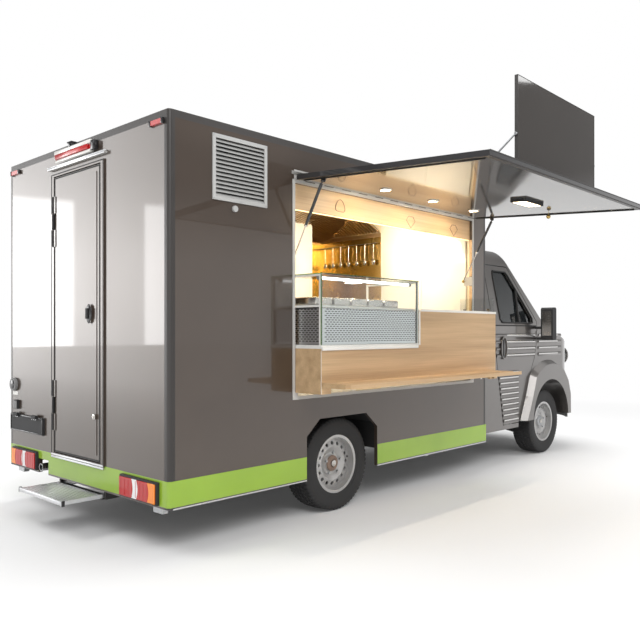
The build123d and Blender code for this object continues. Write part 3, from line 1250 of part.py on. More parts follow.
GLASS_INSET = 18
with BuildPart() as door_glass_right:
    add(cab_form(GLASS_INSET))
    add(cab_form(GLASS_INSET + GLASS), mode=Mode.SUBTRACT)
    add(side_prism(WINDOW_OUTLINE, (-CAB_HALF - 20, -500), -WINDOW_MARGIN), mode=Mode.INTERSECT)
save(door_glass_right, "door_glass_right")

with BuildPart() as door_glass_left:
    mirror(door_glass_right.part, about=Plane.XZ)
save(door_glass_left, "door_glass_left")

with BuildPart() as windscreen:
    add(above_cowl(screen_slab(-16, -16 + GLASS, SCREEN_HALF, SCREEN_ALONG), 0))
save(windscreen, "windscreen")

# Mirrors on arms from the door's front corner
MIRROR_Y = (-1240, -1105)
MIRROR_X = (1425, 1512)
MIRROR_Z = (1255, 1600)
MIRROR_ARMS = (1270, 1385)
MIRROR_ARM_X = 1462
with BuildPart() as mirror_right:
    block(MIRROR_X, MIRROR_Y, MIRROR_Z)
    fillet(mirror_right.edges().filter_by(Axis.Y), 26)
    for arm_z in MIRROR_ARMS:
        rod((MIRROR_ARM_X, MIRROR_Y[1] - 4, arm_z), (MIRROR_ARM_X, -CAB_HALF, arm_z), 14)
save(mirror_right, "mirror_right")

with BuildPart() as mirror_left:
    mirror(mirror_right.part, about=Plane.XZ)
save(mirror_left, "mirror_left")

# Fenders: ribbed side skin, arch with a bulging flare, wheel-house liner
FLARE_TOP = 1030
FLARE_MIDDLE = 1690
FLARE_FRONT = 2075
GRILLE_REAR = 2300
FENDER_OUTLINE = (
    (1093, SILL_Z + 10), (1093, 402), (1236, 607), (1342, 895), (1440, 1060), (1498, 1250),
    (1498, BELT_Z), (NOSE_X + 100, BELT_Z), (NOSE_X + 100, SILL_Z + 10),
)
BONNET_HINGE_Y = 520
BONNET_AXIS_Z = 1303
BONNET_KNUCKLE = 9
BONNET_PIN = 4
CAB_FENDER_INNER = cab_form(FENDER_SKIN)
with BuildPart() as flare:
    with BuildSketch(side_plane(-CAB_HALF)):
        with BuildLine():
            Polyline((1107, SILL_Z + 10), (1150, 470), (1248, 660), (1340, 880))
            ThreePointArc((1340, 880), (FLARE_MIDDLE, FLARE_TOP), (FLARE_FRONT, 935))
            Polyline((FLARE_FRONT, 935), (2190, 810), (2255, 640), (2262, SILL_Z + 10), (1107, SILL_Z + 10))
        make_face()
    extrude(amount=FLARE_PROUD, taper=34)
    with BuildSketch(side_plane(-CAB_HALF + 10)):
        with Locations((FRONT_AXLE_X, FRONT_ARCH_Z)):
            Circle(FRONT_ARCH_RADIUS)
    extrude(amount=FLARE_PROUD + 20, mode=Mode.SUBTRACT)
    block(
        (FRONT_AXLE_X - FRONT_ARCH_RADIUS, FRONT_AXLE_X + FRONT_ARCH_RADIUS), (-CAB_HALF - 100, -CAB_HALF + 10),
        (SILL_Z - 10, FRONT_ARCH_Z), mode=Mode.SUBTRACT,
    )
BUMPER_TOP = 520
BUMPER_REAR = 2275
LAMP_X = 2330
LAMP_Y = 815
LAMP_Z = 1060
LAMP_RADIUS = 108
LAMP_FRONT = 2470
with BuildPart() as fender_right:
    add(CAB_OUTER)
    add(CAB_FENDER_INNER, mode=Mode.SUBTRACT)
    add(side_prism(FENDER_OUTLINE, (-CAB_HALF - 20, -BONNET_HALF - 4)), mode=Mode.INTERSECT)
    add(rib_bank((1520, FLARE_FRONT), UPPER_RIBS[:4], -CAB_HALF))
    add(flare.part)
    strut_top = (FRONT_AXLE_X, -kingpin_y(STRUT_TOP_Z + RUN_GAP), STRUT_TOP_Z + RUN_GAP)
    with BuildSketch(side_plane(-LINER_RADIUS - 130)):
        with Locations((FRONT_AXLE_X, AXLE_Z + 10)):
            Circle(LINER_RADIUS + 8)
            Circle(LINER_RADIUS, mode=Mode.SUBTRACT)
    extrude(amount=CAB_HALF - FENDER_SKIN + 5 - LINER_RADIUS - 130)
    rod(strut_top, (FRONT_AXLE_X, -kingpin_y(LINER_RADIUS + AXLE_Z + 14), LINER_RADIUS + AXLE_Z + 14), SPRING_RADIUS)
    block((1000, 2700), (-CAB_HALF - 100, -400), (-200, SILL_Z + 60), mode=Mode.SUBTRACT)
    with BuildSketch(side_plane(-CAB_HALF + 60)):
        with Locations((FRONT_AXLE_X, FRONT_ARCH_Z)):
            Circle(FRONT_ARCH_RADIUS)
    extrude(amount=200, mode=Mode.SUBTRACT)
    block((BUMPER_REAR - 4, NOSE_X + 100), (-CAB_HALF - 100, 0), (SILL_Z - 10, BUMPER_TOP + 3), mode=Mode.SUBTRACT)
    rod((LAMP_X - 200, -LAMP_Y, LAMP_Z), (LAMP_FRONT + 60, -LAMP_Y, LAMP_Z), LAMP_RADIUS + SEAT_GAP, mode=Mode.SUBTRACT)
    low_end = (CAB_HINGE_X, -CAB_HALF, CAB_HINGE_Z[0] - 14)
    high_end = (CAB_HINGE_X, -CAB_HALF, CAB_HINGE_Z[1] + 14)
    low_stop = (CAB_HINGE_X, -CAB_HALF, CAB_HINGE_Z[0] - 1)
    high_stop = (CAB_HINGE_X, -CAB_HALF, CAB_HINGE_Z[1] + 1)
    rod(low_stop, high_stop, CAB_HINGE_KNUCKLE + 1, mode=Mode.SUBTRACT)
    rod(low_end, low_stop, CAB_HINGE_BARREL)
    rod(high_stop, high_end, CAB_HINGE_BARREL)
    rod(low_end, high_end, CAB_HINGE_PIN)
with BuildPart() as cowl:
    add(CAB_OUTER)
    add(CAB_FENDER_INNER, mode=Mode.SUBTRACT)
    block((SCREEN_BASE_X, BONNET_REAR - 4), (-BONNET_HALF - 4, BONNET_HALF + 4), (1150, BELT_Z), mode=Mode.INTERSECT)
with BuildPart() as fenders:
    add(fender_right.part)
    mirror(fender_right.part, about=Plane.XZ)
    add(cowl.part)
    add(SCREEN_OPENING, mode=Mode.SUBTRACT)
    for sign in (-1, 1):
        middle = sign * BONNET_HINGE_Y
        rod(
            (BONNET_REAR, middle - 19, BONNET_AXIS_Z), (BONNET_REAR, middle + 19, BONNET_AXIS_Z),
            BONNET_KNUCKLE + 1, mode=Mode.SUBTRACT,
        )
        rod((BONNET_REAR, middle - 50, BONNET_AXIS_Z), (BONNET_REAR, middle - 20, BONNET_AXIS_Z), BONNET_KNUCKLE)
        rod((BONNET_REAR, middle + 20, BONNET_AXIS_Z), (BONNET_REAR, middle + 50, BONNET_AXIS_Z), BONNET_KNUCKLE)
        rod((BONNET_REAR, middle - 50, BONNET_AXIS_Z), (BONNET_REAR, middle + 50, BONNET_AXIS_Z), BONNET_PIN)
save(fenders, "fenders")

# Headlamps: round pods with a domed lens, seated in the fender fronts
POD_LENS_DEEP = 24
with BuildPart() as headlamps:
    for sign in (-1, 1):
        rod((LAMP_X - 60, sign * LAMP_Y, LAMP_Z), (LAMP_FRONT + POD_LENS_DEEP, sign * LAMP_Y, LAMP_Z), LAMP_RADIUS)
    lens_edges = headlamps.edges().filter_by(GeomType.CIRCLE).group_by(Axis.X)[-1]
    fillet(lens_edges, POD_LENS_DEEP)
save(headlamps, "headlamps")

# Bonnet, ribbed nose panel with air slots, and bumper
BONNET_FRONT_Z = 1040
CAB_BONNET_INNER = cab_form(30)
with BuildPart() as bonnet:
    add(CAB_OUTER)
    add(CAB_BONNET_INNER, mode=Mode.SUBTRACT)
    block((BONNET_REAR, NOSE_X + 50), (-BONNET_HALF, BONNET_HALF), (BONNET_FRONT_Z, 1420), mode=Mode.INTERSECT)
    for sign in (-1, 1):
        middle = sign * BONNET_HINGE_Y
        rod(
            (BONNET_REAR, middle - 52, BONNET_AXIS_Z), (BONNET_REAR, middle + 52, BONNET_AXIS_Z),
            BONNET_KNUCKLE + 1, mode=Mode.SUBTRACT,
        )
        rod((BONNET_REAR, middle - 18, BONNET_AXIS_Z), (BONNET_REAR, middle + 18, BONNET_AXIS_Z), BONNET_KNUCKLE)
        block(
            (BONNET_REAR, BONNET_REAR + 14), (middle - 18, middle + 18),
            (BONNET_AXIS_Z - BONNET_KNUCKLE, BONNET_AXIS_Z - BONNET_KNUCKLE + 6),
        )
        rod(
            (BONNET_REAR, middle - 20, BONNET_AXIS_Z), (BONNET_REAR, middle + 20, BONNET_AXIS_Z),
            BONNET_PIN + RUN_GAP, mode=Mode.SUBTRACT,
        )
save(bonnet, "bonnet")

SLOTS = 6
SLOT_HEIGHT = 34
with BuildPart() as nose:
    add(CAB_OUTER)
    add(CAB_FENDER_INNER, mode=Mode.SUBTRACT)
    block(
        (GRILLE_REAR, NOSE_X + 50), (-BONNET_HALF - 4, BONNET_HALF + 4), (BUMPER_TOP + 3, BONNET_FRONT_Z - 6),
        mode=Mode.INTERSECT,
    )
    slot_pitch = (BONNET_FRONT_Z - BUMPER_TOP - 90) / SLOTS
    for index in range(SLOTS):
        slot_z = BUMPER_TOP + 60 + slot_pitch * index
        block((GRILLE_REAR, NOSE_X + 50), (-420, 420), (slot_z, slot_z + SLOT_HEIGHT), mode=Mode.SUBTRACT)
save(nose, "nose")

with BuildPart() as bumper:
    add(cab_form(-30))
    add(cab_form(-4), mode=Mode.SUBTRACT)
    block((BUMPER_REAR, NOSE_X + 100), (-CAB_HALF - 60, CAB_HALF + 60), (SILL_Z - 10, BUMPER_TOP), mode=Mode.INTERSECT)
    for sign in (-1, 1):
        block(
            (FRAME_FRONT, NOSE_X - 10), mirrored((-RAIL_HALF - 40, -RAIL_HALF + 40), sign),
            (SILL_Z + 10, BUMPER_TOP - 60),
        )
    block((FRAME_FRONT, FRAME_FRONT + 60), (-CAB_HALF + 240, CAB_HALF - 240), (SILL_Z + 10, BUMPER_TOP - 60))
save(bumper, "bumper")

# Cab floor with toe board and bulkhead
CAB_FLOOR_Z = 600
BULKHEAD_X = 1520
with BuildPart() as cab_floor:
    prism_y(
        ((CAB_REAR + CAB_SKIN, CAB_FLOOR_Z - 35), (CAB_REAR + CAB_SKIN, CAB_FLOOR_Z), (1190, CAB_FLOOR_Z),
         (1440, 960), (1500, 1250), (1535, 1250), (1475, 950), (1215, CAB_FLOOR_Z - 35)),
        (-CAB_HALF + DOOR_THICK + 8, CAB_HALF - DOOR_THICK - 8),
    )
    for sign in (-1, 1):
        block(
            (CAB_REAR + CAB_SKIN, 1090), mirrored((-RAIL_HALF - 40, -RAIL_HALF + 40), sign),
            (RAIL_TOP, CAB_FLOOR_Z - 30),
        )
save(cab_floor, "cab_floor")

# Cab interior: dashboard with steering wheel, and two seats
SEAT_Y = (-480, 480)
WHEEL_Y = 480
with BuildPart() as dashboard:
    prism_y(
        ((1380, 1020), (1300, 1180), (1340, 1330), (1420, 1370), (1640, 1330), (1540, 1250), (1500, 1250),
         (1459, 1060)),
        (-CAB_HALF + DOOR_THICK + 60, CAB_HALF - DOOR_THICK - 60),
    )
    column = Vector(-0.55, 0, 0.62).normalized()
    hub = Vector(1150, WHEEL_Y, 1330)
    rod(tuple(hub - column * 260), tuple(hub), 26)
    with BuildSketch(Plane(origin=tuple(hub), z_dir=tuple(column), x_dir=(0, 1, 0))):
        Circle(205)
        Circle(182, mode=Mode.SUBTRACT)
        Rectangle(380, 34)
        Circle(48)
    extrude(amount=24)
with BuildPart() as seats:
    for seat_y in SEAT_Y:
        prism_y(
            ((560, CAB_FLOOR_Z), (560, 900), (470, 1500), (560, 1520), (680, 1010), (1080, 1020), (1100, 900), (980, CAB_FLOOR_Z)),
            (seat_y - 235, seat_y + 235),
        )
        prism_y(((455, 1510), (450, 1680), (530, 1690), (540, 1515)), (seat_y - 130, seat_y + 130))
save(dashboard, "dashboard")
save(seats, "seats")
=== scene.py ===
"""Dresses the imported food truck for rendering: finishes, small fittings, studio and camera.

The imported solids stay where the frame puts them. Each class below adds one sub-assembly's
pieces in metres, in the frame's own axes: X forwards, Y to the truck's left, Z up.
"""
import json
import logging
import math
from collections.abc import Callable, Iterable, Sequence
from dataclasses import dataclass
from enum import Enum
from typing import ClassVar

import bmesh
import bpy
from mathutils import Matrix, Vector

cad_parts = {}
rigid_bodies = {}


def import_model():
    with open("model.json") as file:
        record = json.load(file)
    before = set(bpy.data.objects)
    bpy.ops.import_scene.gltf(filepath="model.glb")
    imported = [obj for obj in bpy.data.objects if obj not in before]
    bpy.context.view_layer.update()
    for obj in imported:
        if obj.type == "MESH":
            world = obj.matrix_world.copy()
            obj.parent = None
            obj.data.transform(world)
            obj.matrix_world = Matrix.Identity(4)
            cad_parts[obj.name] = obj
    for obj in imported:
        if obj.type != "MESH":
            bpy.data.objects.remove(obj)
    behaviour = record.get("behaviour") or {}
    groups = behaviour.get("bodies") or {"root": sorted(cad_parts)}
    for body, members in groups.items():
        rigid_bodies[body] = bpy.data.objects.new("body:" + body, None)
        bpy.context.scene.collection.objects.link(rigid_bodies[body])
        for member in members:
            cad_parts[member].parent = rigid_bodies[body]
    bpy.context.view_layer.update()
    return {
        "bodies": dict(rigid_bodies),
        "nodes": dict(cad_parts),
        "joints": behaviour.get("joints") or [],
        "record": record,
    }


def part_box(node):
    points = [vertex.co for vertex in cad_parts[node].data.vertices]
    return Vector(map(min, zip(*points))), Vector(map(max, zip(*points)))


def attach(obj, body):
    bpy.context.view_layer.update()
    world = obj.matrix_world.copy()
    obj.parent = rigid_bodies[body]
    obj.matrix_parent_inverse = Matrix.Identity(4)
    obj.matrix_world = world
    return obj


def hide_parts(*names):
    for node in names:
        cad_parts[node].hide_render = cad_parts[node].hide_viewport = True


log = logging.getLogger("food_truck")
Point = tuple[float, float, float]
Colour = tuple[float, float, float]
Outline = Sequence[tuple[float, float]]
Block = tuple[Point, Point]


class Axis(Enum):
    """Row axes, as indices into a point."""

    X = 0
    Y = 1
    Z = 2


class Sheen(Enum):
    """How a surface shines: base roughness and the weight of its clear coat."""

    MATTE = (0.62, 0.0)
    SATIN = (0.38, 0.0)
    GLOSS = (0.16, 0.35)
    MIRROR = (0.07, 0.6)
    LACQUER = (0.3, 1.0)
    POLISH = (0.07, 0.0)


def math_node(kind: str) -> Callable[..., "Signal"]:
    """Write a Signal method that adds one Math node.

    Args:
        kind: The Math node's operation.

    Returns:
        The method. Its arguments are the node's further inputs, signals or plain numbers.
    """
    def apply(self: "Signal", *terms: "Signal | float") -> "Signal":
        """Feed this signal and the terms to a new node."""
        return self.shader.node("ShaderNodeMath", {"operation": kind}, dict(enumerate((self, *terms))))

    return apply


class Signal:
    """A value socket that adds Math nodes when it takes part in Python arithmetic."""

    def __init__(self, shader: "Shader", socket: bpy.types.NodeSocket) -> None:
        """Wrap an output socket of a shader's tree."""
        self.shader = shader
        self.socket = socket

    def __rsub__(self, other: float) -> "Signal":
        """Reflected difference."""
        return self.shader.node("ShaderNodeMath", {"operation": "SUBTRACT"}, {0: other, 1: self})

    __add__ = __radd__ = math_node("ADD")
    __sub__ = math_node("SUBTRACT")
    __mul__ = __rmul__ = math_node("MULTIPLY")
    __truediv__ = math_node("DIVIDE")
    __pow__ = math_node("POWER")
    __lt__ = math_node("LESS_THAN")
    __gt__ = math_node("GREATER_THAN")
    __abs__ = math_node("ABSOLUTE")
    wrapped = math_node("FLOORED_MODULO")

    def between(self, low: float, high: float) -> "Signal":
        """One from low to high, else zero."""
        return (self > low) * (self < high)


class Shader:
    """A material's node tree with short calls for its nodes."""

    def __init__(self, name: str) -> None:
        """Start an empty material with a principled surface.

        Args:
            name: The material's name.
        """
        self.material = bpy.data.materials.new(name)
        self.material.use_nodes = True
        self.tree = self.material.node_tree
        self.surface = self.tree.nodes["Principled BSDF"]
        self._place: bpy.types.NodeSocket | None = None

    def node(self, kind: str, settings: dict | None = None, inputs: dict | None = None,
             output: int | str = 0) -> Signal:
        """Add any node.

        Args:
            kind: The node's type name.
            settings: Its properties, or ramp stops under "stops"; set before the inputs.
            inputs: Values or links by socket index or name.
            output: Which output to hand back.

        Returns:
            The chosen output.
        """
        node = self.tree.nodes.new(kind)
        for key, value in (settings or {}).items():
            if key == "stops":
                self._set_stops(node.color_ramp, value)
            else:
                setattr(node, key, value)
        for key, value in (inputs or {}).items():
            self.feed(node.inputs[key], value)
        return Signal(self, node.outputs[output])

    def feed(self, socket: bpy.types.NodeSocket, value: "Signal | float | Sequence[float]") -> None:
        """Link a signal to a socket, or set the socket's value.

        Args:
            socket: The input socket.
            value: The signal or the plain value.
        """
        if isinstance(value, Signal):
            self.tree.links.new(value.socket, socket)
        elif isinstance(value, (tuple, list)) and len(value) == 3 and socket.type == "RGBA":
            socket.default_value = (*value, 1.0)
        else:
            socket.default_value = value

    @staticmethod
    def _set_stops(ramp: bpy.types.ColorRamp, stops: Sequence[tuple[float, Colour]]) -> None:
        """Give a colour ramp exactly these stops.

        Args:
            ramp: The node's ramp.
            stops: Pairs of position and colour, in order.
        """
        while len(ramp.elements) < len(stops):
            ramp.elements.new(0.5)
        for element, (position, colour) in zip(ramp.elements, stops):
            element.position = position
            element.color = (*colour, 1.0)

    def place(self) -> Signal:
        """The point on the piece, in metres, in the frame's axes."""
        return self.node("ShaderNodeTexCoord", output="Object")

    def along(self, axis: Axis) -> Signal:
        """One coordinate of the point on the piece."""
        return self.node("ShaderNodeSeparateXYZ", None, {0: self.place()}, axis.value)

    def stretched(self, scale: Point) -> Signal:
        """The point on the piece with each axis scaled, for grain and brushing."""
        return self.node("ShaderNodeMapping", None, {"Vector": self.place(), "Scale": scale})

    def noise(self, scale: float, detail: float = 4.0, place: "Signal | None" = None) -> Signal:
        """Cloudy noise, in features per metre, around one half."""
        inputs = {"Vector": place or self.place(), "Scale": scale, "Detail": detail}
        return self.node("ShaderNodeTexNoise", None, inputs, "Fac")

    def eased(self, value: Signal, start: float, end: float) -> Signal:
        """Zero at the start, one at the end, held outside them."""
        return self.node("ShaderNodeMapRange", None, {0: value, 1: start, 2: end})

    def mixed(self, factor: "Signal | float", low: "Signal | Colour", high: "Signal | Colour") -> Signal:
        """Blend two colours.

        Args:
            factor: Share of the second colour.
            low: The first colour.
            high: The second colour.

        Returns:
            The blended colour.
        """
        node = self.tree.nodes.new("ShaderNodeMix")
        node.data_type = "RGBA"
        first, second = (socket for socket in node.inputs if socket.type == "RGBA")
        for socket, value in ((node.inputs[0], factor), (first, low), (second, high)):
            self.feed(socket, value)
        return Signal(self, next(socket for socket in node.outputs if socket.type == "RGBA"))

    def bump(self, height: Signal, strength: float, distance: float) -> Signal:
        """Surface relief from a height signal, in metres of depth."""
        inputs = {"Strength": strength, "Distance": distance, "Height": height}
        return self.node("ShaderNodeBump", None, inputs, "Normal")

    def set(self, **values: "Signal | float | Sequence[float]") -> "Shader":
        """Feed sockets of the principled surface by name, with _ for a space.

        Args:
            **values: Signals or plain values by socket name.

        Returns:
            This shader.
        """
        for name, value in values.items():
            self.feed(self.surface.inputs[name.replace("_", " ")], value)
        return self
def shaded(colour: Colour, factor: float, lift: float = 0.0) -> Colour:
    """A darker or lighter colour.

    Args:
        colour: The colour to start from.
        factor: What each channel is multiplied by.
        lift: What is then added.

    Returns:
        The colour, at most white.
    """
    return tuple(min(1.0, value * factor + lift) for value in colour)


@dataclass(frozen=True)
class Finish:
    """A named surface that sets up its own shader."""

    name: str
    colour: Colour

    def build(self) -> bpy.types.Material:
        """Make the material.

        Returns:
            The finished material.
        """
        shader = Shader(self.name)
        self.dress(shader)
        return shader.material

    def dress(self, shader: Shader) -> None:
        """Set the shader's surface; every kind of finish has its own way."""
        raise NotImplementedError


@dataclass(frozen=True)
class Paint(Finish):
    """Sprayed panel: faint orange peel, slight cloudiness, road dust low down."""

    sheen: Sheen = Sheen.GLOSS
    fleck: float = 0.0
    dust_top: float = 0.0
    dust: Colour = (0.13, 0.11, 0.095)

    def dress(self, shader: Shader) -> None:
        """Set the shader's surface.

        Args:
            shader: The material's shader.
        """
        roughness, coat = self.sheen.value
        cloud = shader.noise(3.0)
        darker = shaded(self.colour, 0.86)
        lighter = shaded(self.colour, 1.12)
        colour = shader.mixed(cloud, darker, lighter)
        rough = cloud * 0.1 + (roughness - 0.05)
        if self.dust_top > 0.0:
            rise = 1.0 - shader.along(Axis.Z) / self.dust_top
            film = shader.node("ShaderNodeClamp", None, {0: rise * (shader.noise(9.0) + 0.35)})
            colour = shader.mixed(film * 0.3, colour, self.dust)
            rough = rough + film * 0.25
        peel = shader.noise(260.0, 1.0)
        shader.set(Base_Color=colour, Roughness=rough, Metallic=self.fleck, Coat_Weight=coat,
                   Coat_Roughness=0.03, Normal=shader.bump(peel, 0.05, 0.0004))


@dataclass(frozen=True)
class Metal(Finish):
    """Bare metal, brushed or rolled along one axis."""

    roughness: float = 0.3
    brushed: Axis = Axis.X
    depth: float = 0.25

    def dress(self, shader: Shader) -> None:
        """Set the shader's surface.

        Args:
            shader: The material's shader.
        """
        scale = [220.0, 220.0, 220.0]
        scale[self.brushed.value] = 4.0
        lines = shader.noise(1.0, 3.0, shader.stretched(tuple(scale)))
        stains = shader.noise(6.0)
        darker = shaded(self.colour, 0.8)
        colour = shader.mixed(lines * 0.5 + stains * 0.5, darker, self.colour)
        shader.set(Base_Color=colour, Metallic=1.0, Roughness=stains * 0.14 + (self.roughness - 0.07),
                   Normal=shader.bump(lines, self.depth, 0.0006))


@dataclass(frozen=True)
class Oak(Finish):
    """Light oak-look board with the grain along one axis."""

    colour: Colour = (0.66, 0.46, 0.26)
    dark: Colour = (0.45, 0.29, 0.155)
    grain: Axis = Axis.X

    def dress(self, shader: Shader) -> None:
        """Set the shader's surface.

        Args:
            shader: The material's shader.
        """
        coarse = [16.0, 16.0, 16.0]
        coarse[self.grain.value] = 0.55
        fine = [170.0, 170.0, 170.0]
        fine[self.grain.value] = 2.4
        bands = shader.noise(1.0, 5.0, shader.stretched(tuple(coarse)))
        pores = shader.noise(1.0, 3.0, shader.stretched(tuple(fine)))
        streak = shader.eased(bands * 0.7 + pores * 0.3, 0.34, 0.66)
        shader.set(Base_Color=shader.mixed(streak, self.dark, self.colour), Roughness=pores * 0.2 + 0.36,
                   Normal=shader.bump(pores, 0.22, 0.0008))


@dataclass(frozen=True)
class Moulded(Finish):
    """Moulded plastic with a fine grain."""

    sheen: Sheen = Sheen.MATTE
    grain: float = 900.0

    def dress(self, shader: Shader) -> None:
        """Set the shader's surface.

        Args:
            shader: The material's shader.
        """
        roughness, coat = self.sheen.value
        grain = shader.noise(self.grain, 2.0)
        wear = shader.noise(11.0)
        lighter = shaded(self.colour, 1.25, 0.004)
        shader.set(Base_Color=shader.mixed(wear, self.colour, lighter), Roughness=wear * 0.12 + roughness,
                   Coat_Weight=coat, Normal=shader.bump(grain, 0.15, 0.0003))


@dataclass(frozen=True)
class Rubber(Finish):
    """Tyre rubber, dusty in its lower parts."""

    colour: Colour = (0.018, 0.018, 0.019)

    def dress(self, shader: Shader) -> None:
        """Set the shader's surface.

        Args:
            shader: The material's shader.
        """
        dust = shader.noise(14.0)
        grain = shader.noise(600.0, 2.0)
        shader.set(Base_Color=shader.mixed(dust * 0.1, self.colour, (0.11, 0.1, 0.09)),
                   Roughness=dust * 0.15 + 0.66, Normal=shader.bump(grain, 0.25, 0.0005))


@dataclass(frozen=True)
class Woven(Finish):
    """Seat cloth with a plain weave."""

    thread: float = 0.003

    def dress(self, shader: Shader) -> None:
        """Set the shader's surface.

        Args:
            shader: The material's shader.
        """
        over = abs(shader.along(Axis.Y).wrapped(self.thread) - self.thread / 2.0)
        under = abs(shader.along(Axis.Z).wrapped(self.thread) - self.thread / 2.0)
        weave = (over + under) / self.thread
        lighter = shaded(self.colour, 1.7)
        shader.set(Base_Color=shader.mixed(weave, self.colour, lighter), Roughness=0.88,
                   Normal=shader.bump(weave, 0.4, 0.0008))


@dataclass(frozen=True)
class Glazing(Finish):
    """Clear or tinted glass with a trace of dust."""

    transmission: float = 1.0
    smear: float = 0.03

    def dress(self, shader: Shader) -> None:
        """Set the shader's surface.

        Args:
            shader: The material's shader.
        """
        smear = shader.noise(5.0)
        shader.set(Base_Color=self.colour, Roughness=smear * self.smear,
                   Transmission_Weight=self.transmission,
                   IOR=1.45, Coat_Weight=0.2)


@dataclass(frozen=True)
class Glow(Finish):
    """Lit lens: an even colour with a soft falloff of its noise."""

    strength: float

    def dress(self, shader: Shader) -> None:
        """Set the shader's surface.

        Args:
            shader: The material's shader.
        """
        flicker = shader.noise(40.0)
        dimmer = shaded(self.colour, 0.85)
        shader.set(Base_Color=self.colour, Roughness=0.3,
                   Emission_Color=shader.mixed(flicker, dimmer, self.colour),
                   Emission_Strength=self.strength)


class Palette:
    """Every finish on the truck, built once and handed out by name."""

    FINISHES = (
        Paint("body_paint", (0.063, 0.044, 0.032), Sheen.LACQUER, 0.35, 0.9),
        Paint("cab_paint", (0.165, 0.153, 0.145), Sheen.LACQUER, 0.9, 0.9),
        Paint("roof_paint", (0.24, 0.225, 0.21), Sheen.SATIN),
        Paint("louvre_grey", (0.44, 0.44, 0.43), Sheen.SATIN),
        Paint("corner_profile", (0.034, 0.03, 0.028), Sheen.SATIN),
        Paint("window_trim", (0.46, 0.45, 0.43), Sheen.SATIN),
        Paint("underbody", (0.02, 0.02, 0.021), Sheen.MATTE, 0.0, 0.5),
        Paint("wheel_silver", (0.52, 0.515, 0.51), Sheen.SATIN, 0.55, 0.5),
        Paint("hub_rust", (0.24, 0.165, 0.125), Sheen.MATTE),
        Paint("lime_stripe", (0.28, 0.45, 0.035), Sheen.GLOSS),
        Paint("white_lacquer", (0.8, 0.79, 0.75), Sheen.GLOSS),
        Paint("warm_lining", (0.8, 0.7, 0.52), Sheen.SATIN),
        Paint("lid_skin", (0.034, 0.033, 0.034), Sheen.MIRROR),
        Paint("lid_lining", (0.2, 0.195, 0.19), Sheen.POLISH, 0.6),
        Paint("sign_face", (0.038, 0.032, 0.028), Sheen.MIRROR),
        Metal("alloy", (0.74, 0.75, 0.76), 0.34),
        Metal("galvanised", (0.5, 0.51, 0.52), 0.42),
        Metal("stainless", (0.6, 0.58, 0.55), 0.25),
        Metal("bronze_slat", (0.68, 0.5, 0.31), 0.3, Axis.Z),
        # Pale metal for the strips on the cab's rib crowns: painted highlights.
        Metal("rib_painted_highlight", (0.86, 0.85, 0.83), 0.22),
        Metal("brass", (0.62, 0.44, 0.16), 0.25),
        Metal("tail_pipe", (0.62, 0.62, 0.62), 0.22, Axis.X),
        Oak("oak"),
        Moulded("black_plastic", (0.016, 0.016, 0.017)),
        Moulded("black_gloss", (0.01, 0.01, 0.011), Sheen.GLOSS),
        Moulded("grey_plastic", (0.2, 0.2, 0.2)),
        Moulded("dash_plastic", (0.05, 0.05, 0.053)),
        Moulded("gasket", (0.008, 0.008, 0.008), Sheen.MATTE, 300.0),
        Moulded("red_lens", (0.42, 0.012, 0.012), Sheen.GLOSS),
        Moulded("orange_lens", (0.8, 0.22, 0.012), Sheen.GLOSS),
        Moulded("white_lens", (0.72, 0.72, 0.72), Sheen.GLOSS),
        Moulded("food_green", (0.1, 0.24, 0.035), Sheen.SATIN, 60.0),
        Rubber("tyre_rubber"),
        Woven("seat_cloth", (0.035, 0.035, 0.04)),
        Glazing("tinted_glass", (0.12, 0.13, 0.135)),
        Glazing("clear_glass", (0.94, 0.97, 0.96)),
        Glazing("lamp_glass", (0.92, 0.94, 0.95)),
        Glow("warm_lamp", (1.0, 0.8, 0.5), 14.0),
        Glow("cool_lamp", (0.93, 0.97, 1.0), 5.0),
        Glow("light_strip", (1.0, 0.78, 0.42), 1.5),
    )

    def __init__(self) -> None:
        """Build the materials."""
        self.materials = {finish.name: finish.build() for finish in self.FINISHES}

    def __getitem__(self, name: str) -> bpy.types.Material:
        """The material of that name."""
        return self.materials[name]


def linked(name: str, data: bpy.types.ID | None) -> bpy.types.Object:
    """Put an object in the scene.

    Args:
        name: The object's name.
        data: Its mesh, lamp or camera.

    Returns:
        The object, at the origin.
    """
    made = bpy.data.objects.new(name, data)
    bpy.context.scene.collection.objects.link(made)
    return made


